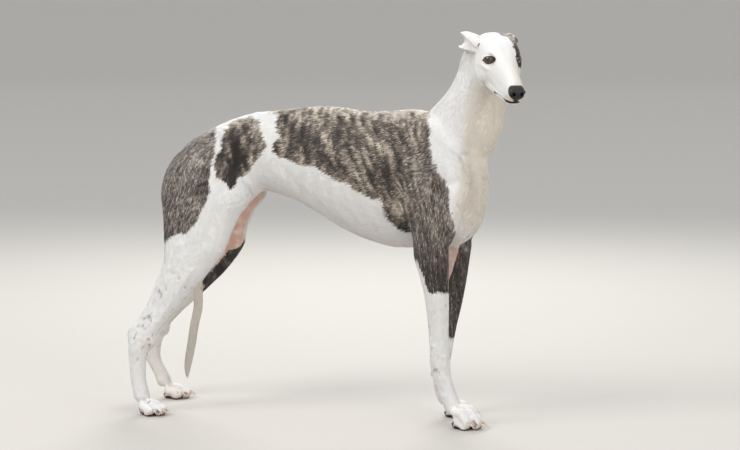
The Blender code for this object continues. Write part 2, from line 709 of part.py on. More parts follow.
def ear_piece(name, stations, carriers):
    """A folded ear: a cup at its root that runs out into a flap, all a few millimetres thick.

    A station is its centre, the way the cup opens, its radius, and how far round it wraps.
    """
    rows = flow(stations, EAR_STEP)
    centres, openings = rows[:, :3], rows[:, 3:6]
    along = np.gradient(centres, axis=0)
    along /= np.linalg.norm(along, axis=1, keepdims=True)
    openings = openings - along * np.sum(openings * along, axis=1, keepdims=True)
    openings /= np.linalg.norm(openings, axis=1, keepdims=True)
    across = np.cross(along, openings)
    columns = 10
    turn = np.radians(rows[:, 7:8]) * np.linspace(-1, 1, columns)
    points = (
        centres[:, None]
        - openings[:, None] * (np.cos(turn) * rows[:, 6:7])[:, :, None]
        + across[:, None] * (np.sin(turn) * rows[:, 6:7])[:, :, None]
    ).reshape(-1, 3)
    faces = []
    for i in range(len(rows) - 1):
        for j in range(columns - 1):
            a = i * columns + j
            faces.append((a, a + 1, a + 1 + columns, a + columns))
    made = object_from(name, *in_head((points, faces)))
    shell = made.modifiers.new("Leather", "SOLIDIFY")
    shell.thickness = EAR_THICKNESS
    shell.offset = 0.0
    settle(made)
    outward_faces(made)
    for carrier in carriers:
        seat(made, carrier)
    return made


def paw_pieces(side, leg):
    """A paw that stands flat on the floor, and its claws."""
    word = "left" if side > 0 else "right"
    upper = fore_leg_forms(side) if leg == "fore" else hind_leg_forms(side)
    top = PAWS[leg]["top"]
    wrist = [form for form in upper if form[0][:, 2].min() < top]
    name = f"{leg}_paw_{word}"
    paw = fuse(name, wrist + paw_forms(side, leg), FINE_GRAIN, 4, PAW_TRIANGLES * 5)
    for thinner in (True, False):
        tool = block("tool", (-1, -1, 0.0), (1, 1, top - GAP / 2))
        combine(paw, tool, "INTERSECT")
        bpy.data.objects.remove(tool)
        keep_largest(paw)
        if thinner:
            thin_to(paw, PAW_TRIANGLES)
    pieces = [paw]
    for number, form in enumerate(claw_forms(side, leg)):
        claw = object_from(f"claw_{leg}_{word}_{number + 1}", *form)
        outward_faces(claw)
        seat(claw, paw)
        pieces.append(claw)
    return pieces


def tail_pieces(body):
    """The tail, tucked down between the thighs and hanging in front of the hocks."""
    rows = (
        (-0.300, 0.0, 0.566, 0.016, 0.014, 0.018),
        (-0.325, 0.0, 0.532, 0.0175, 0.0150, 0.0185),
        (-0.3300, 0.0, 0.495, 0.0165, 0.0150, 0.0165),
        (-0.323, 0.0, 0.450, 0.0150, 0.0150, 0.0150),
        (-0.306, 0.0, 0.398, 0.0140, 0.0140, 0.0140),
        (-0.280, 0.0, 0.345, 0.0135, 0.0135, 0.0135),
        (-0.2610, 0.0, 0.290, 0.0130, 0.0130, 0.0125),
        (-0.2600, 0.0, 0.245, 0.0122, 0.0122, 0.0115),
        (-0.2700, 0.0, 0.193, 0.0115, 0.0115, 0.0105),
        (-0.2780, 0.0, 0.146, 0.0110, 0.0110, 0.0098),
        (-0.2850, 0.0, 0.110, 0.0098, 0.0098, 0.0085),
        (-0.2880, 0.0, 0.090, 0.0082, 0.0082, 0.0070),
        (-0.2890, 0.0, 0.066, 0.0022, 0.0022, 0.0020),
    )
    tail = fuse("tail_base", [loft(rows)], 0.0030, 3, TAIL_TRIANGLES)
    for piece in body:
        seat(tail, piece)
    end = part_off(tail, "tail_end", (-1, -1, -1), (1, 1, 0.335))
    keep_largest(tail)
    return [tail, end]


def finish(pieces, looks):
    """Centres the object on its footprint, and gives each piece its material and parent."""
    corners = []
    for piece in pieces:
        flat = np.empty(len(piece.data.vertices) * 3)
        piece.data.vertices.foreach_get("co", flat)
        corners.append(flat.reshape(-1, 3))
    every = np.vstack(corners)
    low, high = every.min(axis=0), every.max(axis=0)
    shift = Vector((-(low[0] + high[0]) / 2, -(low[1] + high[1]) / 2, -low[2]))
    holder = bpy.data.objects.new("greyhound", None)
    bpy.context.collection.objects.link(holder)
    for piece in pieces:
        piece.data.transform(Matrix.Translation(shift))
        piece.parent = holder
        piece.data.materials.clear()
        piece.data.materials.append(looks[look_of(piece.name)])
        piece.data.shade_smooth()
        piece.data.set_sharp_from_angle(angle=math.radians(50))


def look_of(name):
    for word in ("eye", "nose", "claw"):
        if name.startswith(word):
            return word
    return "coat"


def main():
    clear_scene()
    looks = {
        "coat": material("coat", (0.80, 0.78, 0.75), 0.75),
        "eye": material("eye", (0.03, 0.015, 0.01), 0.1),
        "nose": material("nose", (0.03, 0.03, 0.035), 0.45),
        "claw": material("claw", (0.55, 0.45, 0.36), 0.45),
    }
    forms = torso_forms() + neck_forms() + skull_forms() + jaw_forms()
    for side in (-1, 1):
        forms += fore_leg_forms(side) + hind_leg_forms(side)
    flesh = fuse("loin", forms, BODY_GRAIN, 9, BODY_TRIANGLES)
    tool = block("tool", (-0.3, -0.3, -GAP / 2), (0.3, 0.3, 0.3), neck_plane())
    combine(flesh, tool, "DIFFERENCE")
    bpy.data.objects.remove(tool)
    for leg, low_x, high_x in (("fore", 0.0, 1.0), ("hind", -1.0, 0.1)):
        tool = block("tool", (low_x, -1, -1), (high_x, 1, PAWS[leg]["top"] + GAP / 2))
        combine(flesh, tool, "DIFFERENCE")
        bpy.data.objects.remove(tool)
    keep_largest(flesh)
    pieces = part_body(flesh)
    near_tail = [p for p in pieces if p.name.startswith(("croup", "thigh", "gaskin"))]
    pieces += tail_pieces(near_tail)
    neck = next(piece for piece in pieces if piece.name == "neck")
    head_parts = head_pieces()
    head = head_parts[0]
    pieces += head_parts
    pieces.append(nose_piece(head))
    for name, stations in (("ear_right", RIGHT_EAR), ("ear_left", LEFT_EAR)):
        pieces.append(ear_piece(name, stations, (head, neck)))
    for side in (-1, 1):
        for leg in ("fore", "hind"):
            pieces += paw_pieces(side, leg)
    finish(pieces, looks)


main()
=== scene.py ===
"""The looks of the greyhound: one fine skin, a short coat of small tufts, eyes, nose, claws and whiskers.

All is drawn in the body's own frame, in metres: +X the way the body faces, +Y its left, +Z up. At
the end it is shifted to where the frame's solids stand. The skin is lofted and fused as the solids
are, finer, then carved with the folds, muscles, lids and lips, and drawn in by the coat's depth.
"""

import json
import math

import bmesh
import bpy
import numpy as np
from mathutils import Matrix, Vector
from mathutils.kdtree import KDTree

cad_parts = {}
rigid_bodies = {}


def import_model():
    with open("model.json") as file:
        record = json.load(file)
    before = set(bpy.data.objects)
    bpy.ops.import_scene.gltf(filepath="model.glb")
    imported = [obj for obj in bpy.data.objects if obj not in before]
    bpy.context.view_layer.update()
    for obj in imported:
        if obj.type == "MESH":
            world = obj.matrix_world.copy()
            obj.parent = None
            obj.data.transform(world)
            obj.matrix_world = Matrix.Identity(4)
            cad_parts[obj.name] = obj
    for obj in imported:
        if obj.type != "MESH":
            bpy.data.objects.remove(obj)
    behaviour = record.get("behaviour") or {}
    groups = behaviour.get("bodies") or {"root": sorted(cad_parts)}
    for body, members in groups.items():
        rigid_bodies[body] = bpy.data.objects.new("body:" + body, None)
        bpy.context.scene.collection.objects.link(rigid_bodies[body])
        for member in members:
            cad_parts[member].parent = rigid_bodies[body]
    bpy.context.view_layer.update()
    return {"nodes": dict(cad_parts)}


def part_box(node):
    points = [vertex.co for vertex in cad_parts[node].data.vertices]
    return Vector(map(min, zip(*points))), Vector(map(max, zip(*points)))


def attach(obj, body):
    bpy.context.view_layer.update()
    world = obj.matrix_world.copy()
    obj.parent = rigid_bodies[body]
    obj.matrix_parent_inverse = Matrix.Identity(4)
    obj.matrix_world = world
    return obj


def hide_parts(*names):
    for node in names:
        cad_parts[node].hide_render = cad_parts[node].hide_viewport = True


SEED = 7

# The skin's mesh and the coat over it
SKIN_GRAIN = 0.0026
COAT_DEPTH = 0.0011
TUFTS = 290000
MOST_TUFTS_A_PIECE = 49000
BAKE_PATCH = 0.003
LID = 0.0013
CLAW_SIDES = 14

# The camera, in the body's frame, and the light's image
IMAGE_WIDTH = 740
HORIZON_DROP = 225
CAMERA_FOCUS = 2150
CAMERA_TURN = math.radians(16)
CAMERA_AT = (1.474, -4.611, 0.94)

# Head: the point midway between the eyes, and how the head is turned, nodded and tilted
BETWEEN_EYES = Vector((0.478, -0.105, 0.8115))
HEAD_TURN = math.radians(-62.5)
HEAD_NOD = math.radians(18.5)
HEAD_TILT = math.radians(-0.4)
EYE_RADIUS = 0.0128
EYE_AT = (-0.0080, 0.0275, 0.0005)
EYE_OUTWARD = math.radians(40)
EYE_SLANT = math.radians(17)
EYE_OPENING = (0.0145, 0.0084)
EYE_OPENING_FORWARD = 0.0020
MOUTH_CORNER = (0.033, 0.029, -0.0580)
MOUTH_FRONT = (0.118, 0.0, -0.0500)
EAR_THICKNESS = 0.0032

# Paws: where the heel stands, its turn outwards, and the sizes of its toes
PAWS = {
    "fore": {
        "heel": (0.364, 0.060),
        "turn": math.radians(8),
        "top": 0.060,
        "length": 0.064,
        "heights": {-1: 0.0530, 1: 0.0385},
        "spread": 0.0150,
        "toe": 0.0116,
        "outer": 0.020,
    },
    "hind": {
        "heel": (-0.358, 0.100),
        "turn": math.radians(13),
        "top": 0.050,
        "length": 0.059,
        "heights": {-1: 0.0350, 1: 0.0350},
        "spread": 0.0138,
        "toe": 0.0108,
        "outer": 0.018,
    },
}
TOE_PLACES = (-1.5, -0.5, 0.5, 1.5)
CLAW_LENGTH = 0.0155
CLAW_RADIUS = 0.0036
CLAW_DROP = 0.0075

# How far each left leg leans forward of the right one, by height
LEFT_FORE_LEAN = ((0.00, -0.048), (0.05, -0.046), (0.10, -0.037), (0.15, -0.026), (0.20, -0.016),
                  (0.25, -0.006), (0.31, 0.004), (0.39, 0.015), (0.50, 0.006), (0.58, 0.0))
LEFT_HIND_LEAN = ((0.00, -0.023), (0.05, -0.025), (0.10, -0.042), (0.17, -0.042), (0.25, -0.020),
                  (0.30, -0.009), (0.35, -0.006), (0.42, -0.014), (0.57, 0.0))
NO_LEAN = ((0.0, 0.0), (1.0, 0.0))

# Ears in the head's frame: centre, the way the cup opens, radius, and degrees that it wraps round
RIGHT_EAR = (
    (-0.060, -0.035, 0.008, 0.45, -0.85, -0.20, 0.0165, 165),
    (-0.074, -0.046, 0.0115, 0.30, -0.92, -0.10, 0.0195, 150),
    (-0.090, -0.059, 0.0115, 0.15, -0.97, 0.00, 0.0205, 128),
    (-0.106, -0.068, 0.009, 0.00, -0.98, 0.10, 0.0195, 108),
    (-0.122, -0.069, 0.004, -0.15, -0.98, 0.15, 0.0165, 90),
    (-0.134, -0.063, -0.002, -0.25, -0.97, 0.10, 0.0135, 80),
    (-0.143, -0.057, -0.007, -0.25, -0.97, 0.10, 0.0085, 70),
    (-0.148, -0.053, -0.010, -0.25, -0.97, 0.10, 0.0020, 60),
)
LEFT_EAR = (
    (-0.060, 0.034, 0.006, 0.35, 0.85, 0.20, 0.0130, 160),
    (-0.076, 0.040, 0.012, 0.15, 0.95, 0.10, 0.0155, 140),
    (-0.094, 0.041, 0.013, -0.10, 0.95, 0.20, 0.0155, 112),
    (-0.112, 0.036, 0.008, -0.30, 0.90, 0.30, 0.0145, 90),
    (-0.129, 0.027, 0.000, -0.40, 0.90, 0.20, 0.0110, 70),
    (-0.141, 0.019, -0.006, -0.40, 0.90, 0.10, 0.0020, 55),
)


def flow(stations, spacing):
    """Many stations made from a few, on a curve through each that never swings past its neighbours."""
    rows = np.array(stations, float)
    steps = np.linalg.norm(np.diff(rows[:, :3], axis=0), axis=1)
    slope = np.diff(rows, axis=0) / steps[:, None]
    before, after = slope[:-1], slope[1:]
    agree = before * after > 0
    tangent = np.vstack([slope[:1], np.zeros_like(before), slope[-1:]])
    tangent[1:-1] = np.where(agree, 2 * before * after / np.where(agree, before + after, 1.0), 0.0)
    made = []
    for i, step in enumerate(steps):
        count = max(2, round(step / spacing))
        t = (np.arange(count) / count)[:, None]
        made.append(
            rows[i] * (1 + 2 * t) * (1 - t) ** 2
            + rows[i + 1] * t * t * (3 - 2 * t)
            + step * (tangent[i] * t * (1 - t) ** 2 - tangent[i + 1] * t * t * (1 - t))
        )
    return np.vstack([*made, rows[-1:]])


def bent(value, power):
    return np.sign(value) * np.abs(value) ** (2.0 / power)


def loft(stations, facing=None, above=2.0, below=2.0, sides=28, spacing=0.007):
    """A closed form through stations. Its rings face along the path, or all along facing."""
    rows = flow(stations, spacing)
    centres, sizes = rows[:, :3], rows[:, 3:]
    along = np.gradient(centres, axis=0)
    if facing is not None:
        along[:] = facing
    along /= np.linalg.norm(along, axis=1, keepdims=True)
    across = np.array((0.0, 1.0, 0.0)) - along * along[:, 1:2]
    across /= np.linalg.norm(across, axis=1, keepdims=True)
    up = np.cross(along, across)
    angle = np.linspace(0, 2 * math.pi, sides, endpoint=False)
    high = np.sin(angle) > 0
    power = np.where(high, above, below)
    side_way = bent(np.cos(angle), power)
    up_way = bent(np.sin(angle), power)
    reach = np.where(high[None], sizes[:, 0:1], sizes[:, 1:2])
    rings = (
        centres[:, None]
        + across[:, None] * (sizes[:, 2:3] * side_way)[:, :, None]
        + up[:, None] * (reach * up_way)[:, :, None]
    )
    points = np.vstack([rings.reshape(-1, 3), centres[:1], centres[-1:]])
    faces = []
    count = len(rows)
    for r in range(count - 1):
        for s in range(sides):
            t = (s + 1) % sides
            faces.append((r * sides + s, r * sides + t, (r + 1) * sides + t, (r + 1) * sides + s))
    for s in range(sides):
        t = (s + 1) % sides
        faces.append((count * sides, t, s))
        last = (count - 1) * sides
        faces.append((count * sides + 1, last + s, last + t))
    return points, faces


def mass(centre, radii, pitch=0.0, turn=0.0):
    """An egg of flesh, pitched nose down and then turned to the left."""
    lengths = [-1.0, -0.92, -0.7, -0.4, 0.0, 0.4, 0.7, 0.92, 1.0]
    rows = []
    for step in lengths:
        size = max(math.sqrt(1 - step * step), 0.02)
        rows.append((step * radii[0], 0.0, 0.0, radii[2] * size, radii[2] * size, radii[1] * size))
    points, faces = loft(rows, facing=(1, 0, 0), sides=20, spacing=0.004)
    turned = Matrix.Rotation(turn, 3, "Z") @ Matrix.Rotation(pitch, 3, "Y")
    return points @ np.array(turned).T + np.array(centre), faces


def on_side(form, side, lean=NO_LEAN):
    """A form drawn on the left, leant in X by its height, and mirrored for the right."""
    points, faces = form
    heights, shifts = zip(*lean)
    points = points.copy()
    points[:, 0] += np.interp(points[:, 2], heights, shifts)
    if side > 0:
        return points, faces
    points[:, 1] *= -1
    return points, [face[::-1] for face in faces]


def head_matrix():
    turned = Matrix.Rotation(HEAD_TURN, 4, "Z") @ Matrix.Rotation(HEAD_NOD, 4, "Y")
    return Matrix.Translation(BETWEEN_EYES) @ turned @ Matrix.Rotation(-HEAD_TILT, 4, "X")


def in_head(form):
    points, faces = form
    placed = np.array(head_matrix())
    return points @ placed[:3, :3].T + placed[:3, 3], faces


def torso_forms():
    """The trunk from the seat to the breast, with rings that stand upright across it."""
    rows = (
        (-0.330, 0.556, 0.535, 0.507, 0.020),
        (-0.302, 0.591, 0.545, 0.480, 0.050),
        (-0.255, 0.631, 0.560, 0.462, 0.074),
        (-0.205, 0.6565, 0.575, 0.458, 0.084),
        (-0.150, 0.6775, 0.590, 0.470, 0.080),
        (-0.095, 0.6895, 0.600, 0.508, 0.067),
        (-0.040, 0.6955, 0.600, 0.495, 0.067),
        (0.025, 0.7020, 0.590, 0.465, 0.078),
        (0.090, 0.7005, 0.575, 0.4285, 0.091),
        (0.150, 0.6930, 0.560, 0.404, 0.097),
        (0.210, 0.6955, 0.550, 0.390, 0.093),
        (0.262, 0.6990, 0.545, 0.3905, 0.082),
        (0.310, 0.6930, 0.540, 0.392, 0.074),
        (0.355, 0.6700, 0.540, 0.398, 0.064),
        (0.388, 0.6400, 0.540, 0.418, 0.050),
        (0.410, 0.6050, 0.540, 0.448, 0.036),
        (0.421, 0.5750, 0.540, 0.495, 0.016),
    )
    trunk = [(x, 0.0, level, top - level, level - low, wide) for x, top, level, low, wide in rows]
    forms = [loft(trunk, facing=(1, 0, 0), above=2.3, below=1.75, sides=40)]
    breastbone = mass((0.408, 0.0, 0.553), (0.016, 0.014, 0.030))
    forms.append(breastbone)
    for side in (-1, 1):
        hip_bone = mass((-0.170, 0.056, 0.637), (0.034, 0.016, 0.020), 0.3)
        seat_bone = mass((-0.296, 0.034, 0.560), (0.018, 0.015, 0.026), 0.6)
        forms += [on_side(hip_bone, side), on_side(seat_bone, side)]
    return forms


def neck_forms():
    rows = (
        (0.305, 0.0, 0.600, 0.083, 0.097, 0.058),
        (0.352, 0.0, 0.664, 0.068, 0.098, 0.057),
        (0.384, 0.0, 0.725, 0.053, 0.083, 0.051),
        (0.400, 0.0, 0.772, 0.047, 0.067, 0.047),
        (0.409, -0.005, 0.803, 0.046, 0.056, 0.045),
        (0.423, -0.021, 0.822, 0.041, 0.048, 0.042),
        (0.440, -0.046, 0.828, 0.030, 0.034, 0.032),
    )
    return [loft(rows, above=2.1, below=2.0, sides=36)]


def fore_leg_forms(side):
    lean = LEFT_FORE_LEAN if side > 0 else NO_LEAN
    leg = (
        (0.318, 0.078, 0.440, 0.036, 0.040, 0.026),
        (0.315, 0.078, 0.400, 0.038, 0.042, 0.0265),
        (0.317, 0.077, 0.376, 0.036, 0.041, 0.0260),
        (0.321, 0.076, 0.345, 0.032, 0.036, 0.0240),
        (0.325, 0.074, 0.300, 0.028, 0.0290, 0.0215),
        (0.3275, 0.071, 0.250, 0.0250, 0.0250, 0.0190),
        (0.3285, 0.068, 0.205, 0.0228, 0.0225, 0.0178),
        (0.3290, 0.065, 0.170, 0.0232, 0.0218, 0.0185),
        (0.3305, 0.063, 0.145, 0.0232, 0.0228, 0.0190),
        (0.3340, 0.062, 0.115, 0.0215, 0.0215, 0.0175),
        (0.3410, 0.061, 0.090, 0.0208, 0.0190, 0.0170),
        (0.3500, 0.060, 0.066, 0.0205, 0.0190, 0.0190),
        (0.3580, 0.060, 0.046, 0.0200, 0.0180, 0.0200),
        (0.3640, 0.060, 0.032, 0.0150, 0.0150, 0.0160),
    )
    shoulder = (
        (0.250, 0.036, 0.668, 0.020, 0.020, 0.016),
        (0.285, 0.052, 0.640, 0.040, 0.036, 0.022),
        (0.330, 0.064, 0.590, 0.046, 0.040, 0.024),
        (0.368, 0.070, 0.552, 0.034, 0.036, 0.022),
        (0.388, 0.070, 0.532, 0.018, 0.020, 0.014),
    )
    upper_arm = (
        (0.384, 0.071, 0.552, 0.020, 0.020, 0.018),
        (0.366, 0.077, 0.510, 0.031, 0.034, 0.025),
        (0.344, 0.079, 0.465, 0.036, 0.038, 0.026),
        (0.326, 0.078, 0.420, 0.034, 0.036, 0.024),
    )
    triceps = (
        (0.262, 0.062, 0.610, 0.016, 0.018, 0.012),
        (0.276, 0.072, 0.560, 0.040, 0.036, 0.024),
        (0.288, 0.079, 0.500, 0.042, 0.038, 0.026),
        (0.294, 0.080, 0.445, 0.034, 0.028, 0.022),
        (0.287, 0.079, 0.398, 0.016, 0.014, 0.014),
    )
    forms = [loft(leg, above=2.1, below=2.0), loft(shoulder), loft(upper_arm), loft(triceps)]
    dewclaw_pad = mass((0.3210, 0.055, 0.100), (0.0070, 0.0060, 0.0090))
    wrist_pad = mass((0.3150, 0.064, 0.150), (0.0080, 0.0090, 0.0120))
    forms += [dewclaw_pad, wrist_pad]
    return [on_side(form, side, lean) for form in forms]


def hind_leg_forms(side):
    """The thigh and leg have level rings, set by the front and back of the leg at each height."""
    lean = LEFT_HIND_LEAN if side > 0 else NO_LEAN
    outline = (
        (0.610, -0.165, -0.262, 0.040, 0.030),
        (0.565, -0.135, -0.302, 0.053, 0.042),
        (0.530, -0.116, -0.3195, 0.058, 0.045),
        (0.500, -0.106, -0.3225, 0.062, 0.045),
        (0.455, -0.134, -0.3160, 0.069, 0.041),
        (0.405, -0.155, -0.3115, 0.077, 0.036),
        (0.378, -0.1645, -0.3100, 0.081, 0.033),
        (0.350, -0.1850, -0.3110, 0.085, 0.029),
        (0.320, -0.2080, -0.3165, 0.088, 0.0255),
        (0.285, -0.2385, -0.3270, 0.091, 0.0215),
        (0.245, -0.2730, -0.3420, 0.093, 0.0165),
        (0.210, -0.3035, -0.3580, 0.095, 0.0150),
        (0.184, -0.3220, -0.3820, 0.096, 0.0160),
        (0.165, -0.3320, -0.3930, 0.097, 0.0170),
        (0.145, -0.3425, -0.3945, 0.098, 0.0165),
        (0.120, -0.3500, -0.3930, 0.098, 0.0148),
        (0.090, -0.3515, -0.3905, 0.099, 0.0140),
        (0.060, -0.3465, -0.3845, 0.100, 0.0160),
        (0.040, -0.3420, -0.3800, 0.100, 0.0175),
        (0.028, -0.3450, -0.3740, 0.100, 0.0130),
    )
    leg = []
    for z, front, back, y, wide in outline:
        reach = (front - back) / 2
        leg.append(((front + back) / 2, y, z, reach, reach, wide))
    tendon = (
        (-0.297, 0.088, 0.345, 0.014, 0.014, 0.012),
        (-0.318, 0.090, 0.300, 0.012, 0.012, 0.010),
        (-0.3430, 0.093, 0.248, 0.0095, 0.0095, 0.0080),
        (-0.3710, 0.095, 0.206, 0.0085, 0.0085, 0.0075),
        (-0.3870, 0.096, 0.186, 0.0110, 0.0110, 0.0105),
        (-0.3840, 0.097, 0.160, 0.0110, 0.0110, 0.0110),
    )
    forms = [loft(leg, facing=(0, 0, -1), above=2.1, below=2.1, sides=32), loft(tendon)]
    kneecap = mass((-0.190, 0.083, 0.385), (0.022, 0.022, 0.030), 0.5)
    ankle = mass((-0.345, 0.098, 0.165), (0.018, 0.0156, 0.022), 0.9)
    forms += [kneecap, ankle]
    return [on_side(form, side, lean) for form in forms]


def in_paw(form, side, leg):
    """Puts a form that is drawn with the heel at the origin and toes towards +X under its leg."""
    sizes = PAWS[leg]
    lean = {"fore": LEFT_FORE_LEAN, "hind": LEFT_HIND_LEAN}[leg] if side > 0 else NO_LEAN
    turned = np.array(Matrix.Rotation(sizes["turn"], 3, "Z"))
    points, faces = form
    heel = (sizes["heel"][0] + lean[0][1], sizes["heel"][1], 0.0)
    return on_side((points @ turned.T + heel, faces), side)


def paw_forms(side, leg):
    """Four arched toes with their pads, and the heel pad."""
    sizes = PAWS[leg]
    forms = []
    for place in TOE_PLACES:
        outer = abs(place) > 1
        tip = sizes["length"] - (sizes["outer"] if outer else 0.0)
        y = place * sizes["spread"]
        r = sizes["toe"] * (0.94 if outer else 1.0)
        high = sizes["heights"][side] - (0.006 if outer else 0.0)
        rows = (
            (0.002, y * 0.55, high - 0.010, r, r, r),
            (tip * 0.48, y * 0.88, high - r, r * 1.06, r, r),
            (tip * 0.74, y, (high - r) * 0.66, r, r, r * 0.98),
            (tip * 0.93, y * 1.04, 0.0125, r * 0.86, r * 0.9, r * 0.86),
            (tip, y * 1.05, 0.0118, r * 0.45, r * 0.5, r * 0.5),
        )
        forms.append(loft(rows, sides=18, spacing=0.004))
        forms.append(mass((tip - 0.013, y * 1.04, 0.0070), (0.0125, r * 0.74, 0.0090)))
    forms.append(mass((0.008, 0.0, 0.0110), (0.0150, sizes["spread"] * 1.45, 0.0145), 0.15))
    for edge in (-1, 1):
        forms.append(mass((0.020, edge * sizes["spread"] * 1.15, 0.0160), (0.0200, 0.0100, 0.0140), 0.25))
    return [in_paw(form, side, leg) for form in forms]


def claw_forms(side, leg):
    """One claw to each toe. It curves down and ends above the floor."""
    sizes = PAWS[leg]
    forms = []
    for place in TOE_PLACES:
        root = sizes["length"] - (sizes["outer"] if abs(place) > 1 else 0.0) - 0.0045
        rows = []
        for t in (0.0, 0.5, 1.0):
            r = CLAW_RADIUS * (1 - 0.86 * t)
            y = place * (sizes["spread"] * 1.05 + 0.04 * CLAW_LENGTH * t)
            rows.append((root + CLAW_LENGTH * t, y, 0.0155 - CLAW_DROP * t * t, r * 1.15, r * 1.15, r * 0.85))
        forms.append(in_paw(loft(rows, sides=CLAW_SIDES, spacing=0.0015), side, leg))
    return forms


def skull_forms():
    """Brain case, brow, cheeks and the upper muzzle, in the head's own frame."""
    rows = (
        (-0.122, 0.008, -0.004, -0.022, 0.018),
        (-0.108, 0.024, -0.004, -0.042, 0.034),
        (-0.085, 0.0330, -0.004, -0.056, 0.0435),
        (-0.055, 0.0360, -0.006, -0.063, 0.0465),
        (-0.025, 0.0345, -0.010, -0.066, 0.0450),
        (0.000, 0.0285, -0.016, -0.065, 0.0375),
        (0.020, 0.0205, -0.022, -0.062, 0.0305),
        (0.045, 0.0115, -0.028, -0.0585, 0.0250),
        (0.075, 0.0030, -0.031, -0.0555, 0.0212),
        (0.100, -0.0035, -0.032, -0.0530, 0.0198),
        (0.116, -0.0085, -0.033, -0.0510, 0.0182),
        (0.124, -0.0150, -0.033, -0.0470, 0.0130),
    )
    brindle_depth_and_top_light = [(x, 0.0, level, top - level, level - low, wide) for x, top, level, low, wide in rows]
    forms = [loft(brindle_depth_and_top_light, facing=(1, 0, 0), above=2.6, below=2.5, sides=40, spacing=0.004)]
    for side in (-1, 1):
        brow = mass((-0.012, 0.0250, 0.0125), (0.026, 0.0130, 0.0110), 0.25, -0.30)
        cheek = mass((-0.042, 0.0365, -0.034), (0.038, 0.0130, 0.028), 0.15)
        arch = mass((-0.022, 0.0380, -0.012), (0.036, 0.0095, 0.0100), -0.10, -0.12)
        mound = mass(EYE_AT, (EYE_RADIUS + 0.0018,) * 3)
        forms += [on_side(form, side) for form in (brow, cheek, arch, mound)]
    return [in_head(form) for form in forms]


def jaw_forms():
    """The lower jaw, a little narrower than the lips above it."""
    rows = (
        (-0.060, 0.0, -0.050, 0.020, 0.024, 0.034),
        (-0.030, 0.0, -0.054, 0.018, 0.0220, 0.0330),
        (0.010, 0.0, -0.054, 0.016, 0.0190, 0.0290),
        (0.045, 0.0, -0.053, 0.014, 0.0165, 0.0235),
        (0.080, 0.0, -0.052, 0.012, 0.0140, 0.0190),
        (0.104, 0.0, -0.051, 0.010, 0.0120, 0.0160),
        (0.113, 0.0, -0.050, 0.006, 0.0080, 0.0110),
    )
    return [in_head(loft(rows, facing=(1, 0, 0), below=2.3, sides=32, spacing=0.004))]


def object_from(name, points, faces):
    mesh = bpy.data.meshes.new(name)
    mesh.from_pydata([tuple(p) for p in points], [], faces)
    mesh.update()
    made = bpy.data.objects.new(name, mesh)
    bpy.context.collection.objects.link(made)
    return made


def settle(thing):
    """Applies the modifiers of an object."""
    graph = bpy.context.evaluated_depsgraph_get()
    mesh = bpy.data.meshes.new_from_object(thing.evaluated_get(graph))
    thing.modifiers.clear()
    old = thing.data
    thing.data = mesh
    bpy.data.meshes.remove(old)


def combine(thing, tool, operation):
    cut = thing.modifiers.new("Cut", "BOOLEAN")
    cut.operation = operation
    cut.object = tool
    cut.solver = "MANIFOLD"
    settle(thing)


def keep_largest(thing):
    """Keeps the largest closed surface of an object, so that no loose scrap is left."""
    shape = bmesh.new()
    shape.from_mesh(thing.data)
    left, groups = set(shape.verts), []
    while left:
        seed = left.pop()
        group, edge_of = {seed}, [seed]
        while edge_of:
            for edge in edge_of.pop().link_edges:
                for vert in edge.verts:
                    if vert in left:
                        left.discard(vert)
                        group.add(vert)
                        edge_of.append(vert)
        groups.append(group)
    groups.sort(key=len)
    for group in groups[:-1]:
        bmesh.ops.delete(shape, geom=list(group), context="VERTS")
    bmesh.ops.triangulate(shape, faces=shape.faces)
    shape.to_mesh(thing.data)
    shape.free()


def eye_frame(side):
    """The eye's own frame in the head's: X looks out, Y runs along the opening."""
    turn = Matrix.Rotation(side * EYE_OUTWARD, 4, "Z") @ Matrix.Rotation(-side * EYE_SLANT, 4, "X")
    at = Vector((EYE_AT[0], side * EYE_AT[1], EYE_AT[2]))
    return Matrix.Translation(at) @ turn


# The lines that the coat follows, in the direction that it lies: place and reach of each point
TRUNK_LINE = ((0.405, 0.0, 0.545, 0.070), (0.300, 0.0, 0.545, 0.120), (0.120, 0.0, 0.555, 0.125),
              (-0.040, 0.0, 0.600, 0.095), (-0.200, 0.0, 0.575, 0.100), (-0.315, 0.0, 0.535, 0.060))
NECK_LINE = ((0.428, -0.028, 0.820, 0.040), (0.407, -0.004, 0.785, 0.052), (0.384, 0.0, 0.725, 0.066),
             (0.345, 0.0, 0.650, 0.080))
HEAD_LINE = ((0.125, 0.0, -0.033, 0.018), (0.050, 0.0, -0.035, 0.028), (-0.020, 0.0, -0.020, 0.045),
             (-0.095, 0.0, -0.014, 0.038))
FORE_LINE = ((0.330, 0.070, 0.530, 0.050), (0.316, 0.078, 0.410, 0.040), (0.325, 0.074, 0.300, 0.027),
             (0.329, 0.067, 0.190, 0.023), (0.334, 0.062, 0.115, 0.021), (0.352, 0.060, 0.062, 0.021))
FORE_PAW_LINE = ((0.358, 0.060, 0.042, 0.026), (0.392, 0.064, 0.026, 0.026), (0.424, 0.069, 0.012, 0.020))
HIND_LINE = ((-0.215, 0.058, 0.520, 0.082), (-0.225, 0.079, 0.400, 0.068), (-0.268, 0.089, 0.300, 0.044),
             (-0.350, 0.095, 0.190, 0.022), (-0.370, 0.098, 0.115, 0.020), (-0.362, 0.100, 0.058, 0.019))
HIND_PAW_LINE = ((-0.358, 0.100, 0.036, 0.024), (-0.330, 0.106, 0.024, 0.025), (-0.300, 0.112, 0.012, 0.020))
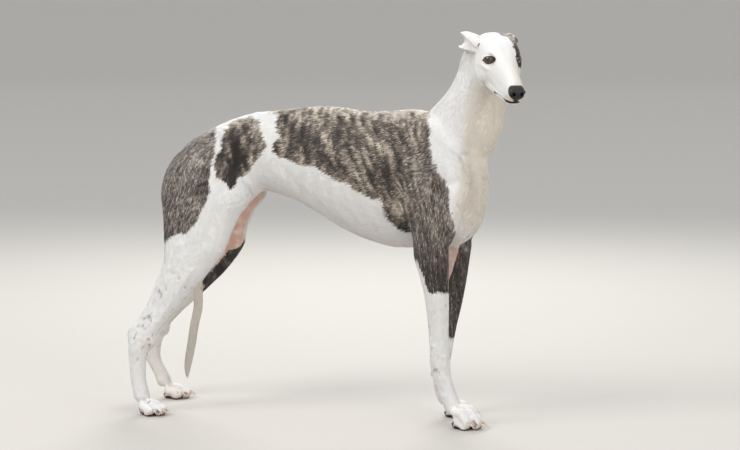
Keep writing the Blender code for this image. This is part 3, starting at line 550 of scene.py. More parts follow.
TAIL_ROWS = (
    (-0.300, 0.0, 0.566, 0.016, 0.014, 0.018),
    (-0.325, 0.0, 0.532, 0.0175, 0.0150, 0.0185),
    (-0.3300, 0.0, 0.495, 0.0165, 0.0150, 0.0165),
    (-0.323, 0.0, 0.450, 0.0150, 0.0150, 0.0150),
    (-0.306, 0.0, 0.398, 0.0140, 0.0140, 0.0140),
    (-0.280, 0.0, 0.345, 0.0135, 0.0135, 0.0135),
    (-0.2610, 0.0, 0.290, 0.0130, 0.0130, 0.0125),
    (-0.2600, 0.0, 0.245, 0.0122, 0.0122, 0.0115),
    (-0.2700, 0.0, 0.193, 0.0115, 0.0115, 0.0105),
    (-0.2780, 0.0, 0.146, 0.0110, 0.0110, 0.0098),
    (-0.2850, 0.0, 0.110, 0.0098, 0.0098, 0.0085),
    (-0.2880, 0.0, 0.090, 0.0082, 0.0082, 0.0070),
    (-0.2890, 0.0, 0.066, 0.0022, 0.0022, 0.0020),
)

# Coat by part: tuft length, width, how closely they grow, and how far they stand off
COAT = {
    "trunk": (0.0085, 0.00150, 1.0, 0.105),
    "neck": (0.0080, 0.00140, 1.0, 0.105),
    "head": (0.0038, 0.00080, 1.9, 0.110),
    "ear_right": (0.0034, 0.00075, 1.8, 0.110),
    "ear_left": (0.0034, 0.00075, 1.8, 0.110),
    "fore_right": (0.0062, 0.00115, 1.3, 0.110),
    "fore_left": (0.0062, 0.00115, 1.3, 0.110),
    "hind_right": (0.0066, 0.00120, 1.2, 0.110),
    "hind_left": (0.0066, 0.00120, 1.2, 0.110),
    "fore_paw_right": (0.0036, 0.00080, 1.8, 0.120),
    "fore_paw_left": (0.0036, 0.00080, 1.8, 0.120),
    "hind_paw_right": (0.0036, 0.00080, 1.8, 0.120),
    "hind_paw_left": (0.0036, 0.00080, 1.8, 0.120),
    "tail": (0.0070, 0.00110, 1.5, 0.130),
}

# Markings as outlines on the side view, (x, z)
SADDLE = ((0.286, 0.760), (0.294, 0.700), (0.308, 0.658), (0.313, 0.619), (0.319, 0.598), (0.331, 0.572),
          (0.348, 0.551), (0.357, 0.530), (0.362, 0.498), (0.367, 0.465), (0.372, 0.430), (0.380, 0.380),
          (0.380, 0.304), (0.312, 0.304), (0.304, 0.325), (0.296, 0.350), (0.287, 0.372), (0.264, 0.386),
          (0.258, 0.402), (0.250, 0.425), (0.237, 0.440),
          (0.224, 0.453), (0.213, 0.466), (0.209, 0.485), (0.200, 0.503), (0.162, 0.518), (0.144, 0.525),
          (0.121, 0.539), (0.097, 0.552), (0.073, 0.562), (0.052, 0.575), (0.011, 0.576), (-0.014, 0.586),
          (-0.040, 0.590), (-0.054, 0.606), (-0.052, 0.622), (-0.037, 0.636), (-0.046, 0.656),
          (-0.049, 0.672), (-0.044, 0.684), (-0.100, 0.689), (-0.100, 0.760))
HIP_PATCH = ((-0.160, 0.662), (-0.145, 0.674), (-0.118, 0.679), (-0.092, 0.672), (-0.083, 0.651),
             (-0.071, 0.618), (-0.076, 0.600), (-0.098, 0.579), (-0.115, 0.556), (-0.136, 0.533),
             (-0.147, 0.520), (-0.157, 0.537), (-0.177, 0.542), (-0.184, 0.572), (-0.183, 0.588),
             (-0.170, 0.610), (-0.172, 0.628), (-0.165, 0.650))
RUMP_PATCH = ((-0.213, 0.665), (-0.192, 0.652), (-0.184, 0.627), (-0.184, 0.606), (-0.194, 0.594),
              (-0.191, 0.572), (-0.192, 0.539), (-0.195, 0.499), (-0.206, 0.479), (-0.229, 0.436),
              (-0.246, 0.420), (-0.266, 0.419), (-0.282, 0.409), (-0.300, 0.400), (-0.400, 0.400),
              (-0.400, 0.600), (-0.260, 0.690))
LEFT_SADDLE = ((0.300, 0.760), (0.306, 0.700), (0.322, 0.640), (0.326, 0.600), (0.345, 0.560),
               (0.360, 0.520), (0.366, 0.470), (0.392, 0.420), (0.392, 0.180), (0.240, 0.180),
               (0.262, 0.330), (0.254, 0.400), (0.232, 0.430), (0.196, 0.452), (0.150, 0.480),
               (0.118, 0.486), (0.080, 0.515), (0.044, 0.520), (0.010, 0.545), (-0.020, 0.590),
               (-0.012, 0.625), (-0.036, 0.650), (-0.044, 0.684), (-0.100, 0.689), (-0.100, 0.760))
LEFT_THIGH_PATCH = ((-0.213, 0.665), (-0.176, 0.664), (-0.140, 0.640), (-0.126, 0.600), (-0.134, 0.560),
                    (-0.146, 0.525), (-0.158, 0.490), (-0.172, 0.440), (-0.180, 0.402), (-0.165, 0.378),
                    (-0.110, 0.364), (-0.120, 0.340), (-0.180, 0.290), (-0.240, 0.244), (-0.292, 0.244),
                    (-0.282, 0.285), (-0.252, 0.325), (-0.224, 0.352), (-0.208, 0.385), (-0.212, 0.425),
                    (-0.236, 0.448), (-0.272, 0.450), (-0.300, 0.430), (-0.400, 0.430), (-0.400, 0.600),
                    (-0.260, 0.690))
DARK_CORE = ((-0.150, 0.655), (-0.134, 0.600), (-0.136, 0.560), (-0.143, 0.528))
DARK_END = ((-0.045, 0.690), (-0.002, 0.655), (0.022, 0.612))
TAN_STREAKS = (((-0.118, 0.668), (-0.108, 0.630), (-0.104, 0.605)), ((-0.160, 0.650), (-0.162, 0.600)),
               ((-0.030, 0.628), (-0.024, 0.606)))
EYE_PATCH = ((-0.112, 0.020, 0.028, 0.020), (-0.072, 0.024, 0.037, 0.019), (-0.096, 0.043, 0.021, 0.026), (-0.066, 0.036, 0.018, 0.023), (-0.036, 0.034, 0.015, 0.0190),
             (-0.008, 0.031, 0.002, 0.0205))

# Grooves (negative) and ridges on the side view: height, reach, then the path (x, z)
TRUNK_STROKES = (
    (-0.0028, 0.017, (0.252, 0.640), (0.250, 0.560), (0.262, 0.470), (0.272, 0.420)),
    (-0.0005, 0.026, (0.322, 0.690), (0.354, 0.625), (0.386, 0.560)),
    (-0.0018, 0.010, (0.338, 0.572), (0.310, 0.520), (0.290, 0.455)),
    (-0.0036, 0.036, (-0.095, 0.612), (-0.105, 0.575)),
    (-0.0014, 0.012, (0.105, 0.432), (0.050, 0.480), (-0.010, 0.530), (-0.040, 0.570)),
    (0.0012, 0.012, (-0.170, 0.640), (-0.130, 0.560), (-0.118, 0.510)),
)
# Places where the forms are blended further: centre, reach, and how many times
SMOOTH_PLACES = (
    ((0.345, 0.055, 0.655), 0.062, 170),
    ((0.415, 0.0, 0.600), 0.050, 60),
    ((0.300, 0.09, 0.600), 0.050, 60),
    ((-0.338, 0.112, 0.172), 0.026, 26),
    ((-0.364, 0.108, 0.068), 0.022, 12),
    ((0.354, 0.066, 0.062), 0.022, 14),
)
UNDER_EYE = (-0.012, 0.037, -0.014, 0.017)
RIB_TOPS = (0.215, 0.180, 0.145, 0.110, 0.075, 0.040, 0.005)
FORE_STROKES = (
    (-0.0011, 0.006, (0.336, 0.400), (0.330, 0.330), (0.331, 0.240), (0.338, 0.130)),
    (-0.0009, 0.006, (0.304, 0.390), (0.312, 0.320), (0.320, 0.190)),
    (0.0014, 0.007, (0.344, 0.405), (0.345, 0.340), (0.343, 0.270)),
    (-0.0014, 0.005, (0.319, 0.135), (0.326, 0.105), (0.338, 0.080)),
    (0.0012, 0.005, (0.345, 0.160), (0.347, 0.148)),
)
HIND_STROKES = (
    (-0.0024, 0.011, (-0.232, 0.600), (-0.262, 0.540), (-0.272, 0.470), (-0.262, 0.405)),
    (-0.0016, 0.012, (-0.160, 0.600), (-0.158, 0.530), (-0.182, 0.450), (-0.200, 0.400)),
    (0.0016, 0.014, (-0.215, 0.560), (-0.215, 0.480), (-0.225, 0.410)),
    (-0.0026, 0.0080, (-0.283, 0.325), (-0.310, 0.275), (-0.328, 0.243)),
    (-0.0016, 0.0100, (-0.300, 0.292), (-0.322, 0.254), (-0.338, 0.226)),
    (0.0014, 0.006, (-0.235, 0.335), (-0.275, 0.275), (-0.318, 0.215)),
    (-0.0009, 0.007, (-0.352, 0.150), (-0.368, 0.120), (-0.366, 0.055)),
    (0.0006, 0.006, (-0.343, 0.168), (-0.350, 0.158)),
)


def points_of(mesh):
    flat = np.empty(len(mesh.vertices) * 3)
    mesh.vertices.foreach_get("co", flat)
    return flat.reshape(-1, 3)


def normals_of(mesh):
    flat = np.empty(len(mesh.vertices) * 3)
    mesh.vertices.foreach_get("normal", flat)
    return flat.reshape(-1, 3)


def edges_of(mesh):
    flat = np.empty(len(mesh.edges) * 2, np.int64)
    mesh.edges.foreach_get("vertices", flat)
    return flat.reshape(-1, 2)


def put_points(mesh, points):
    mesh.vertices.foreach_set("co", np.ascontiguousarray(points, np.float32).ravel())
    mesh.update()


def step_up(value, low, high):
    """Rises smoothly from 0 at low to 1 at high."""
    t = np.clip((value - low) / (high - low), 0.0, 1.0)
    return t * t * (3 - 2 * t)


def mean_beside(values, edges):
    """The mean of each point's neighbours."""
    a, b = edges[:, 0], edges[:, 1]
    count = len(values)
    links = np.maximum(np.bincount(np.r_[a, b], minlength=count), 1)
    total = [np.bincount(a, way[b], count) + np.bincount(b, way[a], count) for way in values.T]
    return np.stack(total, axis=1) / links[:, None]


def relax(mesh, times, share=1.0):
    """Draws each point towards the mean of its neighbours."""
    points, edges = points_of(mesh), edges_of(mesh)
    amount = np.broadcast_to(np.asarray(share, float), (len(points),)) * 0.5
    edges = edges[(amount[edges] > 0.001).any(axis=1)]
    used, edges = np.unique(edges, return_inverse=True)
    edges = edges.reshape(-1, 2)
    moved, amount = points[used], amount[used, None]
    for _ in range(times):
        moved = moved + (mean_beside(moved, edges) - moved) * amount
    points[used] = moved
    put_points(mesh, points)


def path_distance(points, path):
    """How far each point is from a line of straight steps, and how far along it the nearest place is."""
    best = np.full(len(points), np.inf)
    along = np.zeros(len(points))
    path = np.array(path, float)
    gone = 0.0
    for start, end in zip(path[:-1], path[1:]):
        way = end - start
        length = np.linalg.norm(way)
        t = np.clip(((points - start) @ way) / length**2, 0, 1)
        far = np.linalg.norm(points - start - t[:, None] * way, axis=1)
        nearer = far < best
        best[nearer] = far[nearer]
        along[nearer] = gone + t[nearer] * length
        gone += length
    return best, along


def outline_distance(places, outline):
    """How far inside an outline each place lies. It is negative outside."""
    ring = np.array(outline + outline[:1], float)
    far, _ = path_distance(places, ring)
    inside = np.zeros(len(places), bool)
    for (x0, z0), (x1, z1) in zip(ring[:-1], ring[1:]):
        crosses = (z0 > places[:, 1]) != (z1 > places[:, 1])
        if z0 != z1:
            at = x0 + (places[:, 1] - z0) * (x1 - x0) / (z1 - z0)
            inside ^= crosses & (places[:, 0] < at)
    return np.where(inside, far, -far)


def lean_at(points, side, lean):
    """How far a left leg is leant forward at each point's height."""
    if side < 0:
        return np.zeros(len(points))
    heights, shifts = zip(*lean)
    return np.interp(points[:, 2], heights, shifts)


def head_places(points):
    back = np.array(head_matrix().inverted())
    return points @ back[:3, :3].T + back[:3, 3]


def head_ways(ways):
    return ways @ np.array(head_matrix())[:3, :3]


def skin_forms():
    forms = torso_forms() + neck_forms() + skull_forms() + jaw_forms() + [loft(TAIL_ROWS, sides=20)]
    for side in (-1, 1):
        forms += fore_leg_forms(side) + hind_leg_forms(side)
        forms += paw_forms(side, "fore") + paw_forms(side, "hind")
    return forms


def fuse(name, forms, grain):
    points, faces, start = [], [], 0
    for form_points, form_faces in forms:
        points.append(form_points)
        faces += [tuple(v + start for v in face) for face in form_faces]
        start += len(form_points)
    made = object_from(name, np.vstack(points), faces)
    remesh = made.modifiers.new("Fuse", "REMESH")
    remesh.mode = "VOXEL"
    remesh.voxel_size = grain
    settle(made)
    return made


def refine(thing, chosen):
    """Splits the faces among the chosen points in four."""
    shape = bmesh.new()
    shape.from_mesh(thing.data)
    edges = [e for e in shape.edges if chosen[e.verts[0].index] and chosen[e.verts[1].index]]
    bmesh.ops.subdivide_edges(shape, edges=edges, cuts=1, use_grid_fill=True)
    shape.to_mesh(thing.data)
    shape.free()


def carve(points, normals, places, facing, stroke, where=1.0):
    height, reach, *path = stroke
    far, _ = path_distance(places, path)
    weight = np.exp(-((far / reach) ** 2)) * step_up(normals @ np.array(facing, float), 0.05, 0.5)
    points += normals * (height * weight * where)[:, None]


def carve_body(points, normals):
    """Muscles, ribs and tendons, as strokes on the side view."""
    for side in (-1, 1):
        on_this = step_up(points[:, 1] * side, 0.012, 0.035)
        facing = (0, side, 0)
        view = points[:, [0, 2]]
        trunk = on_this * step_up(points[:, 2], 0.36, 0.42)
        for stroke in TRUNK_STROKES:
            carve(points, normals, view, facing, stroke, trunk)
        for top in RIB_TOPS:
            rib = (0.0007, 0.0105, (top, 0.630), (top - 0.024, 0.560), (top - 0.022, 0.490), (top + 0.004, 0.450))
            carve(points, normals, view, facing, rib, trunk)
        for strokes, lean, ahead in ((FORE_STROKES, LEFT_FORE_LEAN, True), (HIND_STROKES, LEFT_HIND_LEAN, False)):
            unleant = np.stack([points[:, 0] - lean_at(points, side, lean), points[:, 2]], axis=1)
            on_leg = on_this * ((points[:, 0] > 0.1) == ahead)
            for stroke in strokes:
                carve(points, normals, unleant, facing, stroke, on_leg)
                if stroke[2][1] < 0.41:
                    carve(points, normals, unleant, (0, -side, 0), stroke, on_leg)
    spine = (0.0010, 0.006, (0.250, 0.0), (-0.250, 0.0))
    bumps = 0.6 + 0.4 * np.sin(points[:, 0] * 2 * math.pi / 0.030)
    carve(points, normals, points[:, :2], (0, 0, 1), spine, bumps)
    for side in (-1, 1):
        front = points[:, 1:]
        on_chest = step_up(points[:, 0], 0.33, 0.36)
        carve(points, normals, front, (1, 0, 0), (-0.0030, 0.009, (side * 0.052, 0.600), (side * 0.050, 0.540), (side * 0.044, 0.480)), on_chest)
        carve(points, normals, front, (1, 0, 0), (0.0016, 0.010, (side * 0.026, 0.560), (side * 0.024, 0.480)), on_chest)
        jugular = (-0.0022, 0.012, (0.440, 0.755), (0.416, 0.690), (0.398, 0.620))
        carve(points, normals, points[:, [0, 2]], (0, side, 0), jugular, step_up(points[:, 1] * side, 0.005, 0.02))
    carve(points, normals, points[:, 1:], (1, 0, 0), (-0.0016, 0.006, (0.0, 0.530), (0.0, 0.440)), step_up(points[:, 0], 0.30, 0.36))


def toe_gaps(points):
    """How near each place is to a furrow between two toes, from 0 to 1."""
    found = np.zeros(len(points))
    for leg in ("fore", "hind"):
        sizes = PAWS[leg]
        for side in (-1, 1):
            lean = {"fore": LEFT_FORE_LEAN, "hind": LEFT_HIND_LEAN}[leg] if side > 0 else NO_LEAN
            local = points.copy()
            local[:, 1] *= side
            local[:, 0] -= sizes["heel"][0] + lean[0][1]
            local[:, 1] -= sizes["heel"][1]
            local = local @ np.array(Matrix.Rotation(sizes["turn"], 3, "Z"))
            near = (np.abs(local[:, 0]) < 0.12) & (np.abs(local[:, 1]) < 0.05) & (local[:, 2] < 0.07)
            near = np.flatnonzero(near & (points[:, 1] * side > 0))
            local = local[near]
            high = sizes["heights"][side]
            for gap in (-1, 0, 1):
                y = gap * sizes["spread"]
                long = sizes["length"] - (0.010 if gap else 0.0)
                path = ((0.012, y * 0.75, high - 0.002), (long * 0.5, y * 0.90, high - 0.006),
                        (long * 0.80, y, high * 0.62), (long, y * 1.03, 0.010), (long * 0.9, y, 0.0))
                far, _ = path_distance(local, path)
                depth = np.exp(-((far / 0.0040) ** 2)) * step_up(local[:, 0], -0.002, 0.022)
                found[near] = np.maximum(found[near], depth)
    return found


def carve_paws(points, normals):
    points -= normals * (0.0088 * toe_gaps(points))[:, None]


def carve_head(points, normals):
    """Brow, temples, cheekbones, and the line of the mouth with its lips."""
    local = head_places(points)
    ways = head_ways(normals)
    near = (np.abs(local) < (0.16, 0.08, 0.10)).all(axis=1)
    height = np.zeros(len(points))
    both = local.copy()
    both[:, 1] = np.abs(both[:, 1])
    for depth, reach, *path in (
        (-0.0008, 0.006, (-0.070, 0.0, 0.040), (0.020, 0.0, 0.022)),
        (-0.0016, 0.011, (-0.055, 0.041, 0.006), (-0.035, 0.040, 0.004)),
        (0.0012, 0.006, (0.010, 0.031, -0.016), (-0.020, 0.043, -0.018), (-0.050, 0.047, -0.020)),
        (-0.0014, 0.008, (0.014, 0.024, -0.002), (0.026, 0.020, -0.008)),
        (-0.0009, 0.008, (0.030, 0.026, -0.030), (0.070, 0.022, -0.032)),
        (0.0010, 0.007, (0.060, 0.021, -0.044), (0.105, 0.018, -0.041)),
        (-0.0012, 0.010, (-0.010, 0.040, -0.040), (0.020, 0.032, -0.046)),
    ):
        far, _ = path_distance(both, path)
        height += depth * np.exp(-((far / reach) ** 2))
    corner, front = np.array(MOUTH_CORNER), np.array(MOUTH_FRONT)
    slope = (front[2] - corner[2]) / (front[0] - corner[0])
    above = local[:, 2] - (corner[2] + slope * (local[:, 0] - corner[0]))
    ahead = step_up(local[:, 0], corner[0] - 0.002, corner[0] + 0.006)
    outward = step_up(np.abs(ways[:, 1]) + np.abs(ways[:, 0]), 0.2, 0.5)
    height += ahead * outward * (-0.0026 * np.exp(-((above / 0.0011) ** 2)))
    height += ahead * outward * (0.0007 * np.exp(-(((above - 0.0035) / 0.0020) ** 2)))
    height += ahead * outward * (0.0004 * np.exp(-(((above + 0.0034) / 0.0018) ** 2)))
    points += normals * (height * near)[:, None]


def lid_places(points, side):
    """Places in the eye's frame, and how far inside the almond opening each lies."""
    placed = np.array((head_matrix() @ eye_frame(side)).inverted())
    local = points @ placed[:3, :3].T + placed[:3, 3]
    half_long, half_high = EYE_OPENING
    half_long = half_long * 1.07
    along = (local[:, 1] + side * EYE_OPENING_FORWARD) / half_long
    arch = 0.92 * half_high * np.clip(1 - along**2, 0, 1) ** 0.85
    inside = np.minimum(arch - local[:, 2], local[:, 2] + 0.85 * arch)
    beyond = np.abs(along) >= 1
    outside = -np.hypot((np.abs(along) - 1) * half_long, local[:, 2])
    return local, np.where(beyond, outside, inside)


def carve_lids(points):
    """Lids that lie on the eyeball and open over it with a rounded edge."""
    for side in (-1, 1):
        local, inside = lid_places(points, side)
        off_axis = local[:, 1] ** 2 + local[:, 2] ** 2
        near = (local[:, 0] > 0.001) & (off_axis < 0.024**2)
        lid = np.sqrt(np.maximum((EYE_RADIUS + LID) ** 2 - off_axis, 0.0060**2))
        edge = step_up(inside, -0.0002, 0.0009)
        upper = step_up(local[:, 2], 0.0, 0.003)
        crease = 0.0006 * np.exp(-(((inside + 0.0040) / 0.0012) ** 2)) * upper
        roll = 0.0002 * np.exp(-(((inside + 0.0012) / 0.0010) ** 2))
        wanted = lid - crease + roll - edge * (LID + 0.0022)
        blend = step_up(inside, -0.0105, -0.0012) * near
        local[:, 0] += (wanted - local[:, 0]) * blend
        turned = np.array(head_matrix() @ eye_frame(side))
        points[near] = (local @ turned[:3, :3].T + turned[:3, 3])[near]


def ear_shell(name, stations):
    """A folded ear with a thin rim: two layers over a cup that runs out into a flap."""
    rows = flow(stations, 0.0030)
    centres, openings = rows[:, :3], rows[:, 3:6]
    along = np.gradient(centres, axis=0)
    along /= np.linalg.norm(along, axis=1, keepdims=True)
    openings = openings - along * np.sum(openings * along, axis=1, keepdims=True)
    openings /= np.linalg.norm(openings, axis=1, keepdims=True)
    across = np.cross(along, openings)
    columns = 33
    share = np.linspace(-1, 1, columns)
    turn = np.radians(rows[:, 7:8]) * share
    wave = 1 + 0.05 * np.sin(np.arange(len(rows))[:, None] * 0.9 + 2 * share) * np.abs(share) ** 3
    reach = rows[:, 6:7] * wave * (1 - 0.20 * step_up(np.abs(share), 0.62, 1.0))
    middle = (
        centres[:, None]
        - openings[:, None] * (np.cos(turn) * reach)[:, :, None]
        + across[:, None] * (np.sin(turn) * reach)[:, :, None]
    )
    down_way = np.gradient(middle, axis=0)
    side_way = np.gradient(middle, axis=1)
    out = np.cross(down_way, side_way)
    out /= np.maximum(np.linalg.norm(out, axis=2, keepdims=True), 1e-9)
    last = np.linspace(0, 1, len(rows))[:, None]
    thick = EAR_THICKNESS * 0.5 * (1 - 0.10 * np.abs(share) ** 4) * (1 - 0.25 * last**3)
    layers = np.stack([middle + out * thick[:, :, None], middle - out * thick[:, :, None]])
    count = len(rows) * columns
    points = layers.reshape(-1, 3)
    faces = []
    for i in range(len(rows) - 1):
        for j in range(columns - 1):
            a = i * columns + j
            quad = (a, a + 1, a + 1 + columns, a + columns)
            faces.append(quad)
            faces.append(tuple(v + count for v in quad[::-1]))
    top = list(range(columns))
    right = [i * columns + columns - 1 for i in range(len(rows))]
    bottom = [(len(rows) - 1) * columns + j for j in range(columns)][::-1]
    left = [i * columns for i in range(len(rows))][::-1]
    rim = top[:-1] + right[:-1] + bottom[:-1] + left[:-1]
    for a, b in zip(rim, rim[1:] + rim[:1]):
        faces.append((a, a + count, b + count, b))
    made = object_from(name, *in_head((points, faces)))
    shape = bmesh.new()
    shape.from_mesh(made.data)
    bmesh.ops.recalc_face_normals(shape, faces=shape.faces)
    shape.to_mesh(made.data)
    shape.free()
    return made


def near_places(points, places, reach):
    """How near each point is to any of the places, from 0 at reach to 1 on one of them."""
    low, high = places.min(axis=0) - reach, places.max(axis=0) + reach
    close = ((points > low) & (points < high)).all(axis=1)
    found = np.zeros(len(points))
    if not close.any():
        return found
    tree = KDTree(len(places))
    for i, place in enumerate(places):
        tree.insert(place, i)
    tree.balance()
    for i in np.flatnonzero(close):
        found[i] = max(0.0, 1 - tree.find(points[i])[2] / reach)
    return found


def join_ears(skin):
    """Fuses the ears with the head and smooths the joins."""
    for name, stations in (("ear_right", RIGHT_EAR), ("ear_left", LEFT_EAR)):
        ear = ear_shell(name, stations)
        known = {tuple(p) for p in np.round(points_of(skin.data) * 1e5).astype(int).tolist()}
        known |= {tuple(p) for p in np.round(points_of(ear.data) * 1e5).astype(int).tolist()}
        combine(skin, ear, "UNION")
        bpy.data.objects.remove(ear)
        points = points_of(skin.data)
        new = [i for i, p in enumerate(np.round(points * 1e5).astype(int).tolist()) if tuple(p) not in known]
        share = near_places(points, points[new], 0.0055)
        relax(skin.data, 10, share)
    local = head_places(points_of(skin.data))
    for stations in (RIGHT_EAR, LEFT_EAR):
        spine = [row[:3] for row in stations[2:]]
        far, _ = path_distance(local, spine)
        relax(skin.data, 7, 0.8 * step_up(far, 0.034, 0.022) * step_up(local[:, 0], -0.082, -0.096))
    keep_largest(skin)


def build_skin():
    grain = SKIN_GRAIN
    skin = fuse("skin", skin_forms(), grain)
    relax(skin.data, 9)
    even = points_of(skin.data)
    lean = np.where(even[:, 0] > 0.1, lean_at(even, 1, LEFT_FORE_LEAN), lean_at(even, 1, LEFT_HIND_LEAN))
    even[:, 0] -= lean * step_up(even[:, 1], 0.0, 0.03)
    even[:, 1] = np.abs(even[:, 1])
    body = step_up(even[:, 2], 0.10, 0.20) * (np.abs(head_places(points_of(skin.data))) > 0.16).any(axis=1)
    relax(skin.data, 8, body)
    for centre, reach, times in SMOOTH_PLACES:
        share = np.exp(-(np.sum((even - np.array(centre)) ** 2, axis=1) / reach**2) ** 2)
        relax(skin.data, times, share)
    local = head_places(points_of(skin.data))
    in_head_box = (np.abs(local - (0.01, 0.0, -0.01)) < (0.145, 0.075, 0.075)).all(axis=1)
    paws = points_of(skin.data)[:, 2] < 0.062
    refine(skin, in_head_box | paws)
    relax(skin.data, 3)
    local = head_places(points_of(skin.data))
    local[:, 1] = np.abs(local[:, 1])
    under_eye = np.sum((local - UNDER_EYE[:3]) ** 2, axis=1) / UNDER_EYE[3] ** 2
    relax(skin.data, 60, np.exp(-(under_eye**2)))
    local = head_places(points_of(skin.data))
    muzzle = (local[:, 0] > 0.022) & (np.abs(local[:, 2] + 0.052) < 0.013) & (np.abs(local[:, 1]) < 0.05)
    lids = np.zeros(len(local), bool)
    for side in (-1, 1):
        eye_place, _ = lid_places(points_of(skin.data), side)
        lids |= (np.abs(eye_place) < (0.022, 0.021, 0.016)).all(axis=1) & (eye_place[:, 0] > 0)
    refine(skin, muzzle | lids)
    relax(skin.data, 2)
    join_ears(skin)
    points, normals = points_of(skin.data), normals_of(skin.data)
    carve_body(points, normals)
    carve_paws(points, normals)
    carve_head(points, normals)
    carve_lids(points)
    put_points(skin.data, points)
    relax(skin.data, 1, 0.5)
    points, normals = points_of(skin.data), normals_of(skin.data)
    thin = 1 - 0.6 * step_up(-np.abs(head_places(points)[:, 0]), -0.16, -0.12)
    thin *= step_up(points[:, 2], 0.004, 0.030)
    points -= normals * (COAT_DEPTH * thin)[:, None]
    points[:, 2] = np.maximum(points[:, 2], 0.0)
    put_points(skin.data, points)
    skin.data.shade_smooth()
    return skin


def coat_lines():
    """Each part of the coat: the line it follows, its reach, and the way its unwrap starts from."""
    lines = {"trunk": (TRUNK_LINE, (0, 0, 1)), "neck": (NECK_LINE, (-1, 0, 0.3)), "tail": (None, (1, 0, 0))}
    tail = [(x, y, z, max(wide, 0.006) * 1.1) for x, y, z, _, _, wide in TAIL_ROWS]
    lines["tail"] = (tail, (1, 0, 0))
    placed = np.array(head_matrix())
    turn = placed[:3, :3]

    def from_head(rows):
        return [(*(turn @ np.array(row[:3]) + placed[:3, 3]), row[3]) for row in rows]

    lines["head"] = (from_head(HEAD_LINE), tuple(turn[:, 2]))
    for word, stations in (("right", RIGHT_EAR), ("left", LEFT_EAR)):
        rows = [(*row[:3], 0.020) for row in stations]
        lines["ear_" + word] = (from_head(rows), tuple(turn @ np.array(stations[2][3:6])))
    for side, word in ((-1, "right"), (1, "left")):
        for name, rows, lean in (
            ("fore_", FORE_LINE, LEFT_FORE_LEAN),
            ("fore_paw_", FORE_PAW_LINE, LEFT_FORE_LEAN),
            ("hind_", HIND_LINE, LEFT_HIND_LEAN),
            ("hind_paw_", HIND_PAW_LINE, LEFT_HIND_LEAN),
        ):
            rows = np.array(rows)
            rows[:, 0] += lean_at(rows, side, lean)
            rows[:, 1] *= side
            lines[name + word] = (rows.tolist(), (0, 0, 1) if "paw" in name else (1, 0, 0))
    return lines


def follow_lines(points, normals):
    """For each point: its part, its place on that part's unwrap, and the way the coat lies there."""
    lines = coat_lines()
    names = list(lines)
    score = np.full((len(names), len(points)), 1e9)
    ways = np.zeros((len(names), len(points), 3))
    wraps = np.zeros((len(names), len(points), 2))
    for k, name in enumerate(names):
        rows, up = lines[name]
        rows = np.array(rows, float)
        steps = np.linalg.norm(np.diff(rows[:, :3], axis=0), axis=1)
        gone = 0.0
        tangents = np.gradient(rows[:, :3], axis=0)
        tangents /= np.linalg.norm(tangents, axis=1, keepdims=True)
        for i, length in enumerate(steps):
            way = (rows[i + 1, :3] - rows[i, :3]) / length
            t = np.clip(((points - rows[i, :3]) @ way) / length, 0, 1)
            off = points - rows[i, :3] - (t * length)[:, None] * way
            reach = rows[i, 3] + t * (rows[i + 1, 3] - rows[i, 3])
            near = np.linalg.norm(off, axis=1) / reach
            better = near < score[k]
            score[k][better] = near[better]
            blend = tangents[i] * (1 - t[:, None]) + tangents[i + 1] * t[:, None]
            ways[k][better] = blend[better]
            ref = np.array(up, float) - way * np.dot(up, way)
            ref /= np.linalg.norm(ref)
            side_way = np.cross(way, ref)
            angle = np.arctan2(off @ side_way, off @ ref)
            wraps[k, :, 0][better] = ((gone + t * length) / steps.sum())[better]
            wraps[k, :, 1][better] = (angle / (2 * math.pi) + 0.5)[better]
            gone += length
        if name in ("trunk", "neck"):
            ways[k][:, 2] -= 0.42
    part = score.argmin(axis=0)
    weight = np.exp(-7.0 * (score - score.min(axis=0)))
    weight /= weight.sum(axis=0)
    sizes = np.einsum("kp,kc->pc", weight, np.array([COAT[name] for name in names]))
    lie = (ways * weight[:, :, None]).sum(axis=0)
    lie -= normals * np.sum(lie * normals, axis=1, keepdims=True)
    lie /= np.maximum(np.linalg.norm(lie, axis=1, keepdims=True), 1e-6)
    every = np.arange(len(points))
    return names, part, wraps[part, every], lie, sizes


def facing_in(points, normals, low, high):
    """How far a surface faces the midline, from 0 to 1."""
    return step_up(-normals[:, 1] * np.sign(points[:, 1]), low, high)


